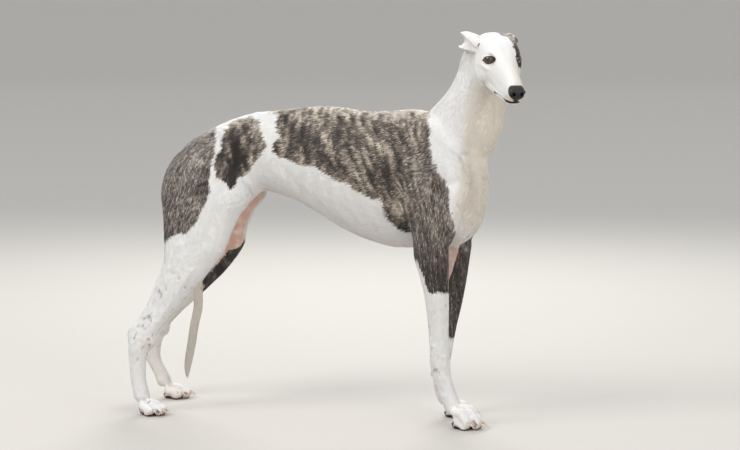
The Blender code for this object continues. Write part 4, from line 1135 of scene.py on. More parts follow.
def dark_inside(points, normals):
    """How far inside the dark patches each place lies, in metres."""
    view = points[:, [0, 2]]
    right = np.maximum(outline_distance(view, SADDLE), outline_distance(view, HIP_PATCH))
    right = np.maximum(right, outline_distance(view, RUMP_PATCH))
    inner = facing_in(points, normals, 0.25, 0.75)
    low_leg = step_up(points[:, 2], 0.445, 0.415)
    right -= 0.030 * inner * step_up(points[:, 2], 0.30, 0.36) * (points[:, 0] > 0.1)
    right -= 0.060 * step_up(points[:, 0], 0.345, 0.375) * step_up(points[:, 1], -0.062, -0.040) * (1 - low_leg)
    under = step_up(np.abs(points[:, 1]), 0.050, 0.036) * step_up(points[:, 2], 0.33, 0.36) * (points[:, 0] > 0.1)
    under = under * step_up(points[:, 2], 0.520, 0.470)
    right -= 0.060 * under
    own_left = view.copy()
    own_left[:, 0] -= 0.008 * inner * (points[:, 0] < 0)
    left = np.maximum(outline_distance(own_left, LEFT_SADDLE), outline_distance(own_left, LEFT_THIGH_PATCH))
    high_inside = inner * step_up(points[:, 2], 0.362, 0.380) * step_up(points[:, 2], 0.62, 0.56)
    left -= 0.080 * high_inside * (points[:, 0] < 0)
    edge = np.interp(points[:, 2], (0.290, 0.330, 0.380, 0.420), (0.312, 0.330, 0.343, 0.352))
    back_half = step_up(points[:, 0] - edge, 0.008, -0.008) * (points[:, 0] > 0.1)
    left -= 0.090 * inner * step_up(points[:, 2], 0.285, 0.315) * back_half
    left -= 0.060 * under
    left -= 0.060 * step_up(points[:, 0], 0.345, 0.375) * step_up(points[:, 1], 0.062, 0.040) * (1 - low_leg)
    over = step_up(points[:, 1], -0.012, 0.030)
    found = right * (1 - over) + left * over
    on_tail = (path_distance(points, [row[:3] for row in TAIL_ROWS])[0] < 0.022) & (points[:, 2] < 0.50)
    found = np.where(on_tail, -0.02, found)
    local = head_places(points)
    spine = [row[:3] for row in EYE_PATCH]
    far, along = path_distance(local, spine)
    gone = np.r_[0.0, np.cumsum(np.linalg.norm(np.diff(np.array(spine), axis=0), axis=1))]
    patch = np.interp(along, gone, [row[3] for row in EYE_PATCH]) - far
    on_head = (np.abs(local) < (0.17, 0.09, 0.09)).all(axis=1)
    return np.where(on_head, np.maximum(patch, -0.03), found)


def ease(points, centre, reach):
    return np.exp(-np.sum(((points - np.array(centre)) / np.array(reach)) ** 2, axis=1))


def traits_of(points, normals, names, part):
    """The markings at each place: dark, bare skin with painted shade round the eyes, painted warm shade and a painted
    glow on the tail, ticked, inked, and how dark the brindle is, with painted light on its top.
    """
    z, side = points[:, 2], np.abs(points[:, 1])
    even = np.stack([points[:, 0], side, z], axis=1)
    inner = facing_in(points, normals, 0.0, 0.6)
    dark = np.clip(dark_inside(points, normals) / 0.02, -1, 1)
    thigh_in = inner * (points[:, 0] < -0.08) * step_up(z, 0.27, 0.36) * step_up(z, 0.56, 0.50)
    groin = ease(even, (-0.125, 0.025, 0.500), (0.075, 0.035, 0.040)) * facing_in(points, normals, -0.25, 0.25)
    armpit = inner * (points[:, 0] > 0.24) * step_up(z, 0.285, 0.320) * step_up(z, 0.50, 0.45)
    belly = step_up(-normals[:, 2], 0.55, 1.0) * step_up(z, 0.37, 0.39) * (np.abs(points[:, 0]) < 0.30)
    breast = ease(even, (0.358, 0.020, 0.412), (0.028, 0.040, 0.024))
    pink_skin_and_shade = np.maximum.reduce([0.85 * thigh_in, 1.0 * groin, 0.8 * armpit, 0.25 * belly, 0.32 * breast])
    local = head_places(points)
    flat = local.copy()
    flat[:, 1] = np.abs(flat[:, 1])
    on_head = part == names.index("head")
    for at, reach, much in (
        ((0.112, 0.012, -0.038), (0.016, 0.016, 0.010), 0.30),
        ((0.030, 0.034, -0.050), (0.020, 0.012, 0.012), 0.34),
        ((0.012, 0.026, -0.004), (0.010, 0.008, 0.007), 0.45),
    ):
        pink_skin_and_shade = np.maximum(pink_skin_and_shade, much * ease(flat, at, reach) * on_head)
    for word in ("right", "left"):
        rows = RIGHT_EAR if word == "right" else LEFT_EAR
        off_spine, _ = path_distance(local, [row[:3] for row in rows])
        on_ear = (part == names.index("ear_" + word)) * step_up(off_spine, 0.027, 0.020)
        opens = np.array(rows[2][3:6])
        cup = step_up(head_ways(normals) @ (opens / np.linalg.norm(opens)), 0.1, 0.7)
        pink_skin_and_shade = np.maximum(pink_skin_and_shade, (0.10 if word == "right" else 0.35) * cup * on_ear)
        tip = step_up(np.linalg.norm(local - np.array(rows[-1][:3]), axis=1), 0.020, 0.006)
        pink_skin_and_shade = np.maximum(pink_skin_and_shade, (0.15 if word == "right" else 0.5) * tip * on_ear)
        if word == "right":
            ear_tick = 0.55 * tip * on_ear
    paws = np.zeros(len(points))
    for name in ("fore_paw_right", "fore_paw_left", "hind_paw_right", "hind_paw_left"):
        paws = np.where(part == names.index(name), 1.0, paws)
    hock = ease(even, (-0.345, 0.110, 0.160), (0.014, 0.02, 0.018))
    pink_skin_and_shade = np.clip(np.maximum(pink_skin_and_shade, 0.40 * hock), 0, 1)
    # Painted warm shade: cream on the front of the throat and chest, which face forward and down, away from the light
    throat = step_up(normals[:, 0] - normals[:, 2] * 0.3, -0.22, 0.30)
    painted_warm_shade_and_glow = throat * step_up(points[:, 0], 0.366, 0.392) * step_up(z, 0.38, 0.48) * step_up(z, 0.84, 0.77)
    # Painted warm shade on the inner thighs
    painted_warm_shade_and_glow = np.maximum(0.56 * painted_warm_shade_and_glow, 0.55 * thigh_in)
    # Painted glow: the tail is made cream, as if light shone through it
    painted_warm_shade_and_glow = np.maximum(painted_warm_shade_and_glow, 0.55 * (part == names.index("tail")))
    legs = step_up(z, 0.36, 0.28)
    # Painted warm shade on the inner sides of the lower legs
    painted_warm_shade_and_glow = np.maximum(painted_warm_shade_and_glow, 0.25 * legs * inner)
    speckled = ease(even, (0.180, 0.058, 0.440), (0.035, 0.03, 0.018))
    gaskin = step_up(z, 0.36, 0.30) * step_up(z, 0.10, 0.16) * (points[:, 0] < -0.1)
    hollow, _ = path_distance(even[:, [0, 2]], ((-0.312, 0.275), (-0.344, 0.213), (-0.352, 0.150)))
    ticked = np.exp(-((hollow / 0.013) ** 2)) * (normals[:, 1] * np.sign(points[:, 1]) > -0.2)
    wrist = ease(even, (0.326, 0.075, 0.140), (0.020, 0.030, 0.024))
    tick = 0.10 + 0.36 * legs + 0.85 * speckled + 0.12 * gaskin + 0.42 * ticked + 0.17 * on_head + 0.42 * wrist
    tick = np.clip(tick + ear_tick, 0, 1)
    ink = np.zeros(len(points))
    for eye_side in (-1, 1):
        place, inside = lid_places(points, eye_side)
        close = (place[:, 0] > 0) & (np.linalg.norm(place, axis=1) < 0.022)
        ink = np.maximum(ink, step_up(inside, -0.0022, -0.0010) * close)
        # Painted shade: a rosy grey halo round each eye, carried in the field for bare skin
        pink_skin_and_shade = np.maximum(pink_skin_and_shade, 0.30 * step_up(inside, -0.0085, -0.0022) * close)
    corner, front = np.array(MOUTH_CORNER), np.array(MOUTH_FRONT)
    slope = (front[2] - corner[2]) / (front[0] - corner[0])
    above = local[:, 2] - (corner[2] + slope * (local[:, 0] - corner[0]))
    ahead = step_up(local[:, 0], corner[0] - 0.003, corner[0] + 0.002)
    width = 0.0007 + 0.0026 * step_up(local[:, 0], 0.088, 0.112)
    width += 0.0012 * step_up(local[:, 0], corner[0] + 0.012, corner[0] + 0.004)
    strong = 0.46 + 0.54 * step_up(local[:, 0], 0.078, 0.098)
    strong += 0.54 * step_up(local[:, 0], corner[0] + 0.018, corner[0] + 0.008)
    lips = step_up(np.abs(above + 0.0006), width + 0.0008, width) * ahead * on_head * strong
    ink = np.maximum(ink, lips)
    ink = np.maximum(ink, ease(local, (0.121, 0.0, -0.042), (0.009, 0.007, 0.007)) * on_head)
    soles = paws * step_up(-normals[:, 2], 0.25, 0.70) * step_up(z, 0.012, 0.006)
    heel = ease(even, (0.298, 0.070, 0.150), (0.008, 0.010, 0.009)) * step_up(-normals[:, 0], 0.3, 0.8)
    soles = np.maximum(soles, 0.8 * heel)
    behind = step_up(-normals[:, 0], 0.35, 0.75) * step_up(-normals[:, 2], -0.40, -0.05)
    soles = np.maximum(soles, 0.58 * paws * behind * step_up(z, 0.025, 0.016))
    ink = np.maximum(ink, soles)
    between = paws * step_up(-normals[:, 2], -0.05, 0.45) * step_up(z, 0.030, 0.020)
    pink_skin_and_shade = np.maximum(pink_skin_and_shade, 0.8 * between)
    gaps = toe_gaps(points + normals * 0.0070) * paws
    pink_skin_and_shade = np.maximum(pink_skin_and_shade, gaps * (0.30 + 0.50 * step_up(z, 0.034, 0.018)))
    view = points[:, [0, 2]]
    far, _ = path_distance(view, DARK_CORE)
    brindle_depth_and_top_light = 0.85 * np.exp(-((far / 0.013) ** 2))
    far, _ = path_distance(view, DARK_END)
    brindle_depth_and_top_light = np.maximum(brindle_depth_and_top_light, 0.80 * np.exp(-((far / 0.011) ** 2)))
    for path in TAN_STREAKS:
        far, _ = path_distance(view, path)
        brindle_depth_and_top_light -= 0.75 * np.exp(-((far / 0.0075) ** 2))
    brindle_depth_and_top_light *= points[:, 1] < 0
    brindle_depth_and_top_light = np.maximum(brindle_depth_and_top_light, 0.42 * step_up(z, 0.50, 0.38))
    brindle_depth_and_top_light = np.maximum(brindle_depth_and_top_light, 0.80 * step_up(z, 0.42, 0.34))
    brindle_depth_and_top_light = np.maximum(brindle_depth_and_top_light, on_head * 0.7)
    # Painted light: brindle on surfaces that face up, along the back, is made lighter, as if lit from above
    brindle_depth_and_top_light -= 0.55 * step_up(normals[:, 2], 0.50, 0.95) * (z > 0.6)
    rump = step_up(points[:, 0], -0.176, -0.200) * step_up(z, 0.38, 0.42)
    pepper = np.maximum(rump, 0.65 * step_up(points[:, 0], 0.240, 0.290) * step_up(z, 0.66, 0.60))
    return dark, pink_skin_and_shade, painted_warm_shade_and_glow, tick, ink, brindle_depth_and_top_light, pepper


def streak_places(points):
    """Places in which the brindle's streaks run straight: across them, through, and along."""
    x, z = points[:, 0], points[:, 2]
    lean = 0.05 + 0.36 * step_up(x, 0.00, 0.16) * (1 - 0.75 * step_up(x, 0.26, 0.34))
    lean -= 0.30 * step_up(x, -0.18, -0.24)
    across = x + lean * (z - 0.66)
    across += 0.003 * np.sin(z * 60.0 + x * 25.0)
    return np.stack([across, points[:, 1] * 0.55, z - 0.25 * x], axis=1)


def store(mesh, name, values, kind):
    made = mesh.attributes.new(name, kind, "POINT")
    key = "value" if kind == "FLOAT" else "vector"
    made.data.foreach_set(key, np.ascontiguousarray(values, np.float32).ravel())


class Shades:
    """Builds a material's nodes, one line to a node."""

    def __init__(self, name):
        self.material = bpy.data.materials.new(name)
        self.material.use_nodes = True
        self.tree = self.material.node_tree
        self.shader = self.tree.nodes["Principled BSDF"]

    def put(self, socket, value):
        if isinstance(value, bpy.types.NodeSocket):
            self.tree.links.new(value, socket)
        elif isinstance(value, tuple) and len(value) == 3 and socket.type == "RGBA":
            socket.default_value = (*value, 1.0)
        else:
            socket.default_value = value

    def stored(self, name, vector=False):
        node = self.tree.nodes.new("ShaderNodeAttribute")
        node.attribute_name = name
        return node.outputs["Vector" if vector else "Fac"]

    def math(self, operation, *values, clamp=False):
        node = self.tree.nodes.new("ShaderNodeMath")
        node.operation = operation
        node.use_clamp = clamp
        for socket, value in zip(node.inputs, values):
            self.put(socket, value)
        return node.outputs[0]

    def between(self, value, low, high):
        node = self.tree.nodes.new("ShaderNodeMapRange")
        node.interpolation_type = "SMOOTHSTEP"
        self.put(node.inputs["Value"], value)
        self.put(node.inputs["From Min"], low)
        self.put(node.inputs["From Max"], high)
        return node.outputs["Result"]

    def mix(self, amount, first, second):
        node = self.tree.nodes.new("ShaderNodeMix")
        node.data_type = "RGBA"
        self.put(node.inputs["Factor"], amount)
        self.put(node.inputs[6], first)
        self.put(node.inputs[7], second)
        return node.outputs[2]

    def scaled(self, vector, factors):
        node = self.tree.nodes.new("ShaderNodeVectorMath")
        node.operation = "MULTIPLY"
        self.put(node.inputs[0], vector)
        node.inputs[1].default_value = factors
        return node.outputs[0]

    def noise(self, vector, scale=1.0, detail=2.0, rough=0.5):
        node = self.tree.nodes.new("ShaderNodeTexNoise")
        self.put(node.inputs["Vector"], vector)
        node.inputs["Scale"].default_value = scale
        node.inputs["Detail"].default_value = detail
        node.inputs["Roughness"].default_value = rough
        return node.outputs["Fac"]

    def cells(self, vector, scale):
        node = self.tree.nodes.new("ShaderNodeTexVoronoi")
        self.put(node.inputs["Vector"], vector)
        node.inputs["Scale"].default_value = scale
        return node.outputs["Distance"]

    def ramp(self, value, stops):
        node = self.tree.nodes.new("ShaderNodeValToRGB")
        self.put(node.inputs[0], value)
        while len(node.color_ramp.elements) < len(stops):
            node.color_ramp.elements.new(0.5)
        for element, (place, colour) in zip(node.color_ramp.elements, stops):
            element.position = place
            element.color = (*colour, 1.0)
        return node.outputs["Color"]

    def bump(self, height, distance, strength=1.0):
        node = self.tree.nodes.new("ShaderNodeBump")
        self.put(node.inputs["Height"], height)
        node.inputs["Distance"].default_value = distance
        node.inputs["Strength"].default_value = strength
        self.tree.links.new(node.outputs[0], self.shader.inputs["Normal"])


WHITE = (0.800, 0.797, 0.790)
# Cream for the painted warm shade and the painted glow on the tail
PAINTED_WARM_TINT = (0.690, 0.590, 0.460)
PINK = (0.560, 0.300, 0.235)
FRECKLE = (0.270, 0.245, 0.250)
INK = (0.018, 0.014, 0.013)
BRINDLE = ((0.35, (0.018, 0.015, 0.014)), (0.46, (0.045, 0.038, 0.036)), (0.54, (0.130, 0.106, 0.092)),
           (0.60, (0.350, 0.292, 0.235)), (0.69, (0.720, 0.650, 0.550)))
GRIZZLE = ((0.36, (0.028, 0.023, 0.021)), (0.46, (0.068, 0.057, 0.053)), (0.54, (0.165, 0.140, 0.126)),
           (0.62, (0.370, 0.322, 0.285)), (0.72, (0.660, 0.600, 0.540)))


def coat_material(name, on_skin):
    """White, brindle, ticked and bare, with painted warm shade, painted glow and painted top light, all read from the
    stored fields, so skin and tufts agree.
    """
    made = Shades(name)
    spot = made.stored("spot", True)
    streak = made.stored("streak", True)
    tone = made.stored("tone")
    wave = made.noise(spot, 38.0, 2.0)
    fray = made.noise(spot, 300.0, 1.0)
    edge = made.math("ADD", made.stored("dark"), made.math("MULTIPLY", made.math("SUBTRACT", wave, 0.5), 0.9))
    edge = made.math("ADD", edge, made.math("MULTIPLY", made.math("SUBTRACT", fray, 0.5), 0.75))
    edge = made.math("ADD", edge, made.math("MULTIPLY", made.math("SUBTRACT", tone, 0.5), 0.10))
    patch = made.between(edge, -0.06, 0.06)

    broad = made.noise(made.scaled(streak, (88.0, 60.0, 15.0)), 1.0, 2.0, 0.55)
    fine = made.noise(made.scaled(streak, (270.0, 160.0, 80.0)), 1.0, 2.0, 0.6)
    slow = made.noise(made.scaled(streak, (20.0, 18.0, 9.0)), 1.0, 1.0)
    value = made.math("MULTIPLY", broad, 0.62)
    value = made.math("ADD", value, made.math("MULTIPLY", fine, 0.30))
    value = made.math("ADD", value, made.math("MULTIPLY", slow, 0.12))
    value = made.math("ADD", value, made.math("MULTIPLY", tone, 0.20))
    value = made.math("SUBTRACT", value, 0.095)
    # The stored brindle depth also carries the painted top light, which makes the brindle lighter on top
    deeper = made.math("MULTIPLY", made.stored("brindle_depth_and_top_light"), 0.13)
    value = made.math("SUBTRACT", value, deeper)
    grain = made.math("ADD", made.math("MULTIPLY", fine, 0.50), made.math("MULTIPLY", tone, 0.34))
    grain = made.math("ADD", grain, made.math("MULTIPLY", broad, 0.22))
    grain = made.math("SUBTRACT", grain, deeper)
    brindle = made.mix(made.stored("pepper"), made.ramp(value, BRINDLE), made.ramp(grain, GRIZZLE))

    # Painted warm shade and glow: the white is mixed towards cream by this stored field
    pale = made.mix(made.stored("painted_warm_shade_and_glow"), WHITE, PAINTED_WARM_TINT)
    mottle = made.noise(spot, 55.0, 3.0)
    rosy = made.math("MULTIPLY", made.stored("pink_skin_and_shade"), made.between(mottle, 0.15, 0.60))
    pale = made.mix(made.math("MULTIPLY", rosy, 0.95 if on_skin else 0.80), pale, PINK)
    flecks = made.noise(spot, 82.0, 1.0)
    reach = made.math("SUBTRACT", 0.78, made.math("MULTIPLY", made.stored("tick"), 0.25))
    ticks = made.between(flecks, reach, made.math("ADD", reach, 0.13))
    pale = made.mix(made.math("MULTIPLY", ticks, 0.72), pale, FRECKLE)
    shade = made.math("ADD", 0.93, made.math("MULTIPLY", tone, 0.14))
    node = made.tree.nodes.new("ShaderNodeVectorMath")
    node.operation = "SCALE"
    made.put(node.inputs[0], pale)
    made.put(node.inputs["Scale"], shade)
    colour = made.mix(patch, node.outputs[0], brindle)
    inked = made.between(made.stored("ink"), 0.30, 0.62)
    colour = made.mix(inked, colour, INK)
    made.put(made.shader.inputs["Base Color"], colour)
    made.shader.inputs["Roughness"].default_value = 0.62 if on_skin else 0.55
    made.shader.inputs["Specular IOR Level"].default_value = 0.28
    made.shader.inputs["Sheen Weight"].default_value = 0.12
    made.shader.inputs["Sheen Roughness"].default_value = 0.45
    if on_skin:
        level = made.noise(made.scaled(spot, (260.0, 900.0, 900.0)), 1.0, 2.0)
        upright = made.noise(made.scaled(spot, (900.0, 900.0, 260.0)), 1.0, 2.0)
        hairs = made.math("ADD", made.math("MULTIPLY", level, 0.5), made.math("MULTIPLY", upright, 0.5))
        made.bump(hairs, 0.0006, 0.7)
    return made.material


def eye_material():
    """A dark brown iris round a black pupil, under a wet clear surface."""
    made = Shades("eye")
    ring = made.stored("ring")
    spokes = made.noise(made.scaled(made.stored("spoke", True), (14.0, 14.0, 1.0)), 1.0, 3.0)
    iris = made.mix(spokes, (0.062, 0.025, 0.012), (0.018, 0.008, 0.005))
    rim = made.between(ring, 0.62, 0.74)
    colour = made.mix(rim, iris, (0.006, 0.004, 0.004))
    white = made.between(ring, 0.90, 1.00)
    colour = made.mix(white, colour, (0.16, 0.085, 0.065))
    pupil = made.between(ring, 0.30, 0.25)
    colour = made.mix(pupil, colour, (0.002, 0.002, 0.002))
    made.put(made.shader.inputs["Base Color"], colour)
    made.shader.inputs["Roughness"].default_value = 0.28
    made.shader.inputs["Coat Weight"].default_value = 1.0
    made.shader.inputs["Coat Roughness"].default_value = 0.03
    return made.material


def nose_material():
    made = Shades("nose")
    spot = made.stored("spot", True)
    pebbles = made.cells(spot, 780.0)
    tint = made.noise(spot, 160.0, 2.0)
    colour = made.mix(tint, (0.008, 0.008, 0.009), (0.020, 0.019, 0.021))
    made.put(made.shader.inputs["Base Color"], made.mix(made.between(pebbles, 0.35, 0.75), colour, (0.012, 0.012, 0.013)))
    made.shader.inputs["Roughness"].default_value = 0.42
    made.shader.inputs["Specular IOR Level"].default_value = 0.35
    made.shader.inputs["Coat Weight"].default_value = 0.12
    made.shader.inputs["Coat Roughness"].default_value = 0.30
    made.bump(made.math("MULTIPLY", pebbles, -1.0), 0.0007, 0.8)
    return made.material


def claw_material():
    made = Shades("claw")
    spot = made.stored("spot", True)
    grain = made.noise(made.scaled(spot, (150.0, 700.0, 700.0)), 1.0, 2.0)
    horn = made.mix(grain, (0.52, 0.42, 0.33), (0.78, 0.68, 0.58))
    quick = made.between(made.stored("along"), 0.55, 0.05)
    made.put(made.shader.inputs["Base Color"], made.mix(made.math("MULTIPLY", quick, 0.6), horn, (0.34, 0.20, 0.17)))
    made.shader.inputs["Roughness"].default_value = 0.38
    made.bump(grain, 0.0002, 0.5)
    return made.material


def whisker_material():
    made = Shades("whisker")
    made.put(made.shader.inputs["Base Color"], (0.55, 0.52, 0.50))
    made.put(made.shader.inputs["Roughness"], made.between(made.noise(made.stored("spot", True), 400.0), 0.0, 1.6))
    return made.material


def finish_piece(thing, paint, shift):
    thing.data.materials.clear()
    thing.data.materials.append(paint)
    thing.data.transform(Matrix.Translation(shift))
    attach(thing, "root")


def make_eyes(shift):
    """Each eyeball is turned from its own profile, with the cornea's bulge."""
    paint = eye_material()
    for side, word in ((-1, "right"), (1, "left")):
        rings, around = 40, 48
        points, faces, ring_values, spokes = [], [], [], []
        for i in range(rings + 1):
            polar = math.pi * i / rings
            reach = EYE_RADIUS + 0.0007 * math.exp(-((polar / 0.55) ** 2))
            for j in range(around):
                turn = 2 * math.pi * j / around
                high = math.sin(polar)
                points.append((math.cos(polar) * reach, high * math.cos(turn) * reach, high * math.sin(turn) * reach))
                ring_values.append(polar)
                spokes.append((math.cos(turn), math.sin(turn), polar))
        for i in range(rings):
            for j in range(around):
                k = (j + 1) % around
                a, b = i * around, (i + 1) * around
                faces.append((a + j, b + j, b + k, a + k))
        eye = object_from("eyeball_" + word, points, faces)
        store(eye.data, "ring", ring_values, "FLOAT")
        store(eye.data, "spoke", spokes, "FLOAT_VECTOR")
        shape = bmesh.new()
        shape.from_mesh(eye.data)
        bmesh.ops.remove_doubles(shape, verts=shape.verts, dist=1e-6)
        bmesh.ops.recalc_face_normals(shape, faces=shape.faces)
        shape.to_mesh(eye.data)
        shape.free()
        eye.data.transform(head_matrix() @ eye_frame(side))
        eye.data.shade_smooth()
        finish_piece(eye, paint, shift)
        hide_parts("eye_" + word)


def make_nose(shift):
    """Nose leather with nostrils that curl out to their side slits, and the groove between them."""
    rows = (
        (0.106, 0.0, -0.0240, 0.0100, 0.0120, 0.0120),
        (0.113, 0.0, -0.0245, 0.0137, 0.0150, 0.0160),
        (0.122, 0.0, -0.0260, 0.0137, 0.0150, 0.0173),
        (0.130, 0.0, -0.0275, 0.0117, 0.0132, 0.0157),
        (0.1345, 0.0, -0.0285, 0.0078, 0.0092, 0.0108),
        (0.1360, 0.0, -0.0285, 0.0030, 0.0040, 0.0050),
    )
    forms = [loft(rows, facing=(1, 0, 0), above=2.6, below=2.0, sides=48, spacing=0.002)]
    for side in (-1, 1):
        forms.append(mass((0.1270, 0.0120 * side, -0.0225), (0.0085, 0.0050, 0.0045), 0.1, 0.35 * side))
    nose = fuse("nose_leather", forms, 0.0007)
    relax(nose.data, 4)
    for side in (-1, 1):
        for form in (
            mass((0.1330, 0.0078 * side, -0.0265), (0.0075, 0.0037, 0.0044), 0.0, 0.25 * side),
            mass((0.1290, 0.0138 * side, -0.0300), (0.0065, 0.0062, 0.0015), 0.0, 0.6 * side),
        ):
            tool = object_from("tool", *form)
            combine(nose, tool, "DIFFERENCE")
            bpy.data.objects.remove(tool)
    relax(nose.data, 2, 0.7)
    points, normals = points_of(nose.data), normals_of(nose.data)
    groove = np.exp(-((points[:, 1] / 0.0010) ** 2)) * step_up(points[:, 0], 0.118, 0.128)
    groove *= step_up(points[:, 2], -0.0200, -0.0260)
    points -= normals * (0.0011 * groove)[:, None]
    placed = np.array(head_matrix())
    points = points @ placed[:3, :3].T + placed[:3, 3]
    put_points(nose.data, points)
    store(nose.data, "spot", points, "FLOAT_VECTOR")
    nose.data.shade_smooth()
    finish_piece(nose, nose_material(), shift)
    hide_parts("nose")


def make_claws(shift):
    paint = claw_material()
    for side, word in ((-1, "right"), (1, "left")):
        for leg in ("fore", "hind"):
            for number, (points, faces) in enumerate(claw_forms(side, leg)):
                name = f"{leg}_{word}_{number + 1}"
                claw = object_from("nail_" + name, points, faces)
                count = len(points) - 2
                along = np.r_[np.arange(count) // CLAW_SIDES / (count / CLAW_SIDES - 1), 0.0, 1.0]
                store(claw.data, "along", along, "FLOAT")
                store(claw.data, "spot", points, "FLOAT_VECTOR")
                claw.data.shade_smooth()
                finish_piece(claw, paint, shift)
                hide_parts("claw_" + name)


def make_whiskers(shift):
    """A few thin tapered hairs on the lips, chin, cheeks and brows."""
    rng = np.random.default_rng(SEED)
    roots = []
    for side in (-1, 1):
        for x, z, out in ((0.112, -0.038, 0.6), (0.104, -0.042, 0.8), (0.095, -0.037, 0.9), (0.088, -0.044, 0.9),
                          (0.080, -0.039, 1.0), (0.100, -0.047, 0.8)):
            roots.append(((x, side * 0.0175, z), (0.25, side * out, -0.28), 0.026))
        roots.append(((-0.004, side * 0.028, 0.016), (0.5, side * 0.6, 0.6), 0.016))
        roots.append(((-0.030, side * 0.045, -0.040), (-0.1, side * 1.0, -0.4), 0.018))
    for x in (0.100, 0.092, 0.084):
        roots.append(((x, 0.002, -0.0630), (0.2, rng.uniform(-0.4, 0.4), -1.0), 0.016))
    points, faces, sides, steps = [], [], 5, 6
    for root, way, long in roots:
        way = Vector(way).normalized()
        bend = Vector((-0.35, 0.0, -0.30)) * rng.uniform(0.5, 1.2)
        across = way.orthogonal().normalized()
        other = way.cross(across)
        start = len(points)
        for i in range(steps + 1):
            t = i / steps
            centre = Vector(root) + way * (t * long * rng.uniform(0.97, 1.03)) + bend * (long * t * t * 0.45)
            thick = 0.00017 * (1 - 0.8 * t)
            for k in range(sides):
                turn = 2 * math.pi * k / sides
                points.append(tuple(centre + across * (math.cos(turn) * thick) + other * (math.sin(turn) * thick)))
        for i in range(steps):
            for k in range(sides):
                a, b = start + i * sides, start + (i + 1) * sides
                faces.append((a + k, a + (k + 1) % sides, b + (k + 1) % sides, b + k))
        faces.append(tuple(start + k for k in range(sides))[::-1])
        faces.append(tuple(start + steps * sides + k for k in range(sides)))
    made = object_from("whiskers", *in_head((np.array(points), faces)))
    store(made.data, "spot", points_of(made.data), "FLOAT_VECTOR")
    made.data.shade_smooth()
    finish_piece(made, whisker_material(), shift)


def triangles_of(mesh):
    mesh.calc_loop_triangles()
    flat = np.empty(len(mesh.loop_triangles) * 3, np.int32)
    mesh.loop_triangles.foreach_get("vertices", flat)
    return flat.reshape(-1, 3)


def mesh_of_triangles(name, points, triangles):
    mesh = bpy.data.meshes.new(name)
    count = len(triangles)
    mesh.vertices.add(len(points))
    mesh.vertices.foreach_set("co", np.ascontiguousarray(points, np.float32).ravel())
    mesh.loops.add(count * 3)
    mesh.loops.foreach_set("vertex_index", np.ascontiguousarray(triangles, np.int32).ravel())
    mesh.polygons.add(count)
    mesh.polygons.foreach_set("loop_start", np.arange(0, count * 3, 3, dtype=np.int32))
    mesh.update(calc_edges=True)
    return mesh


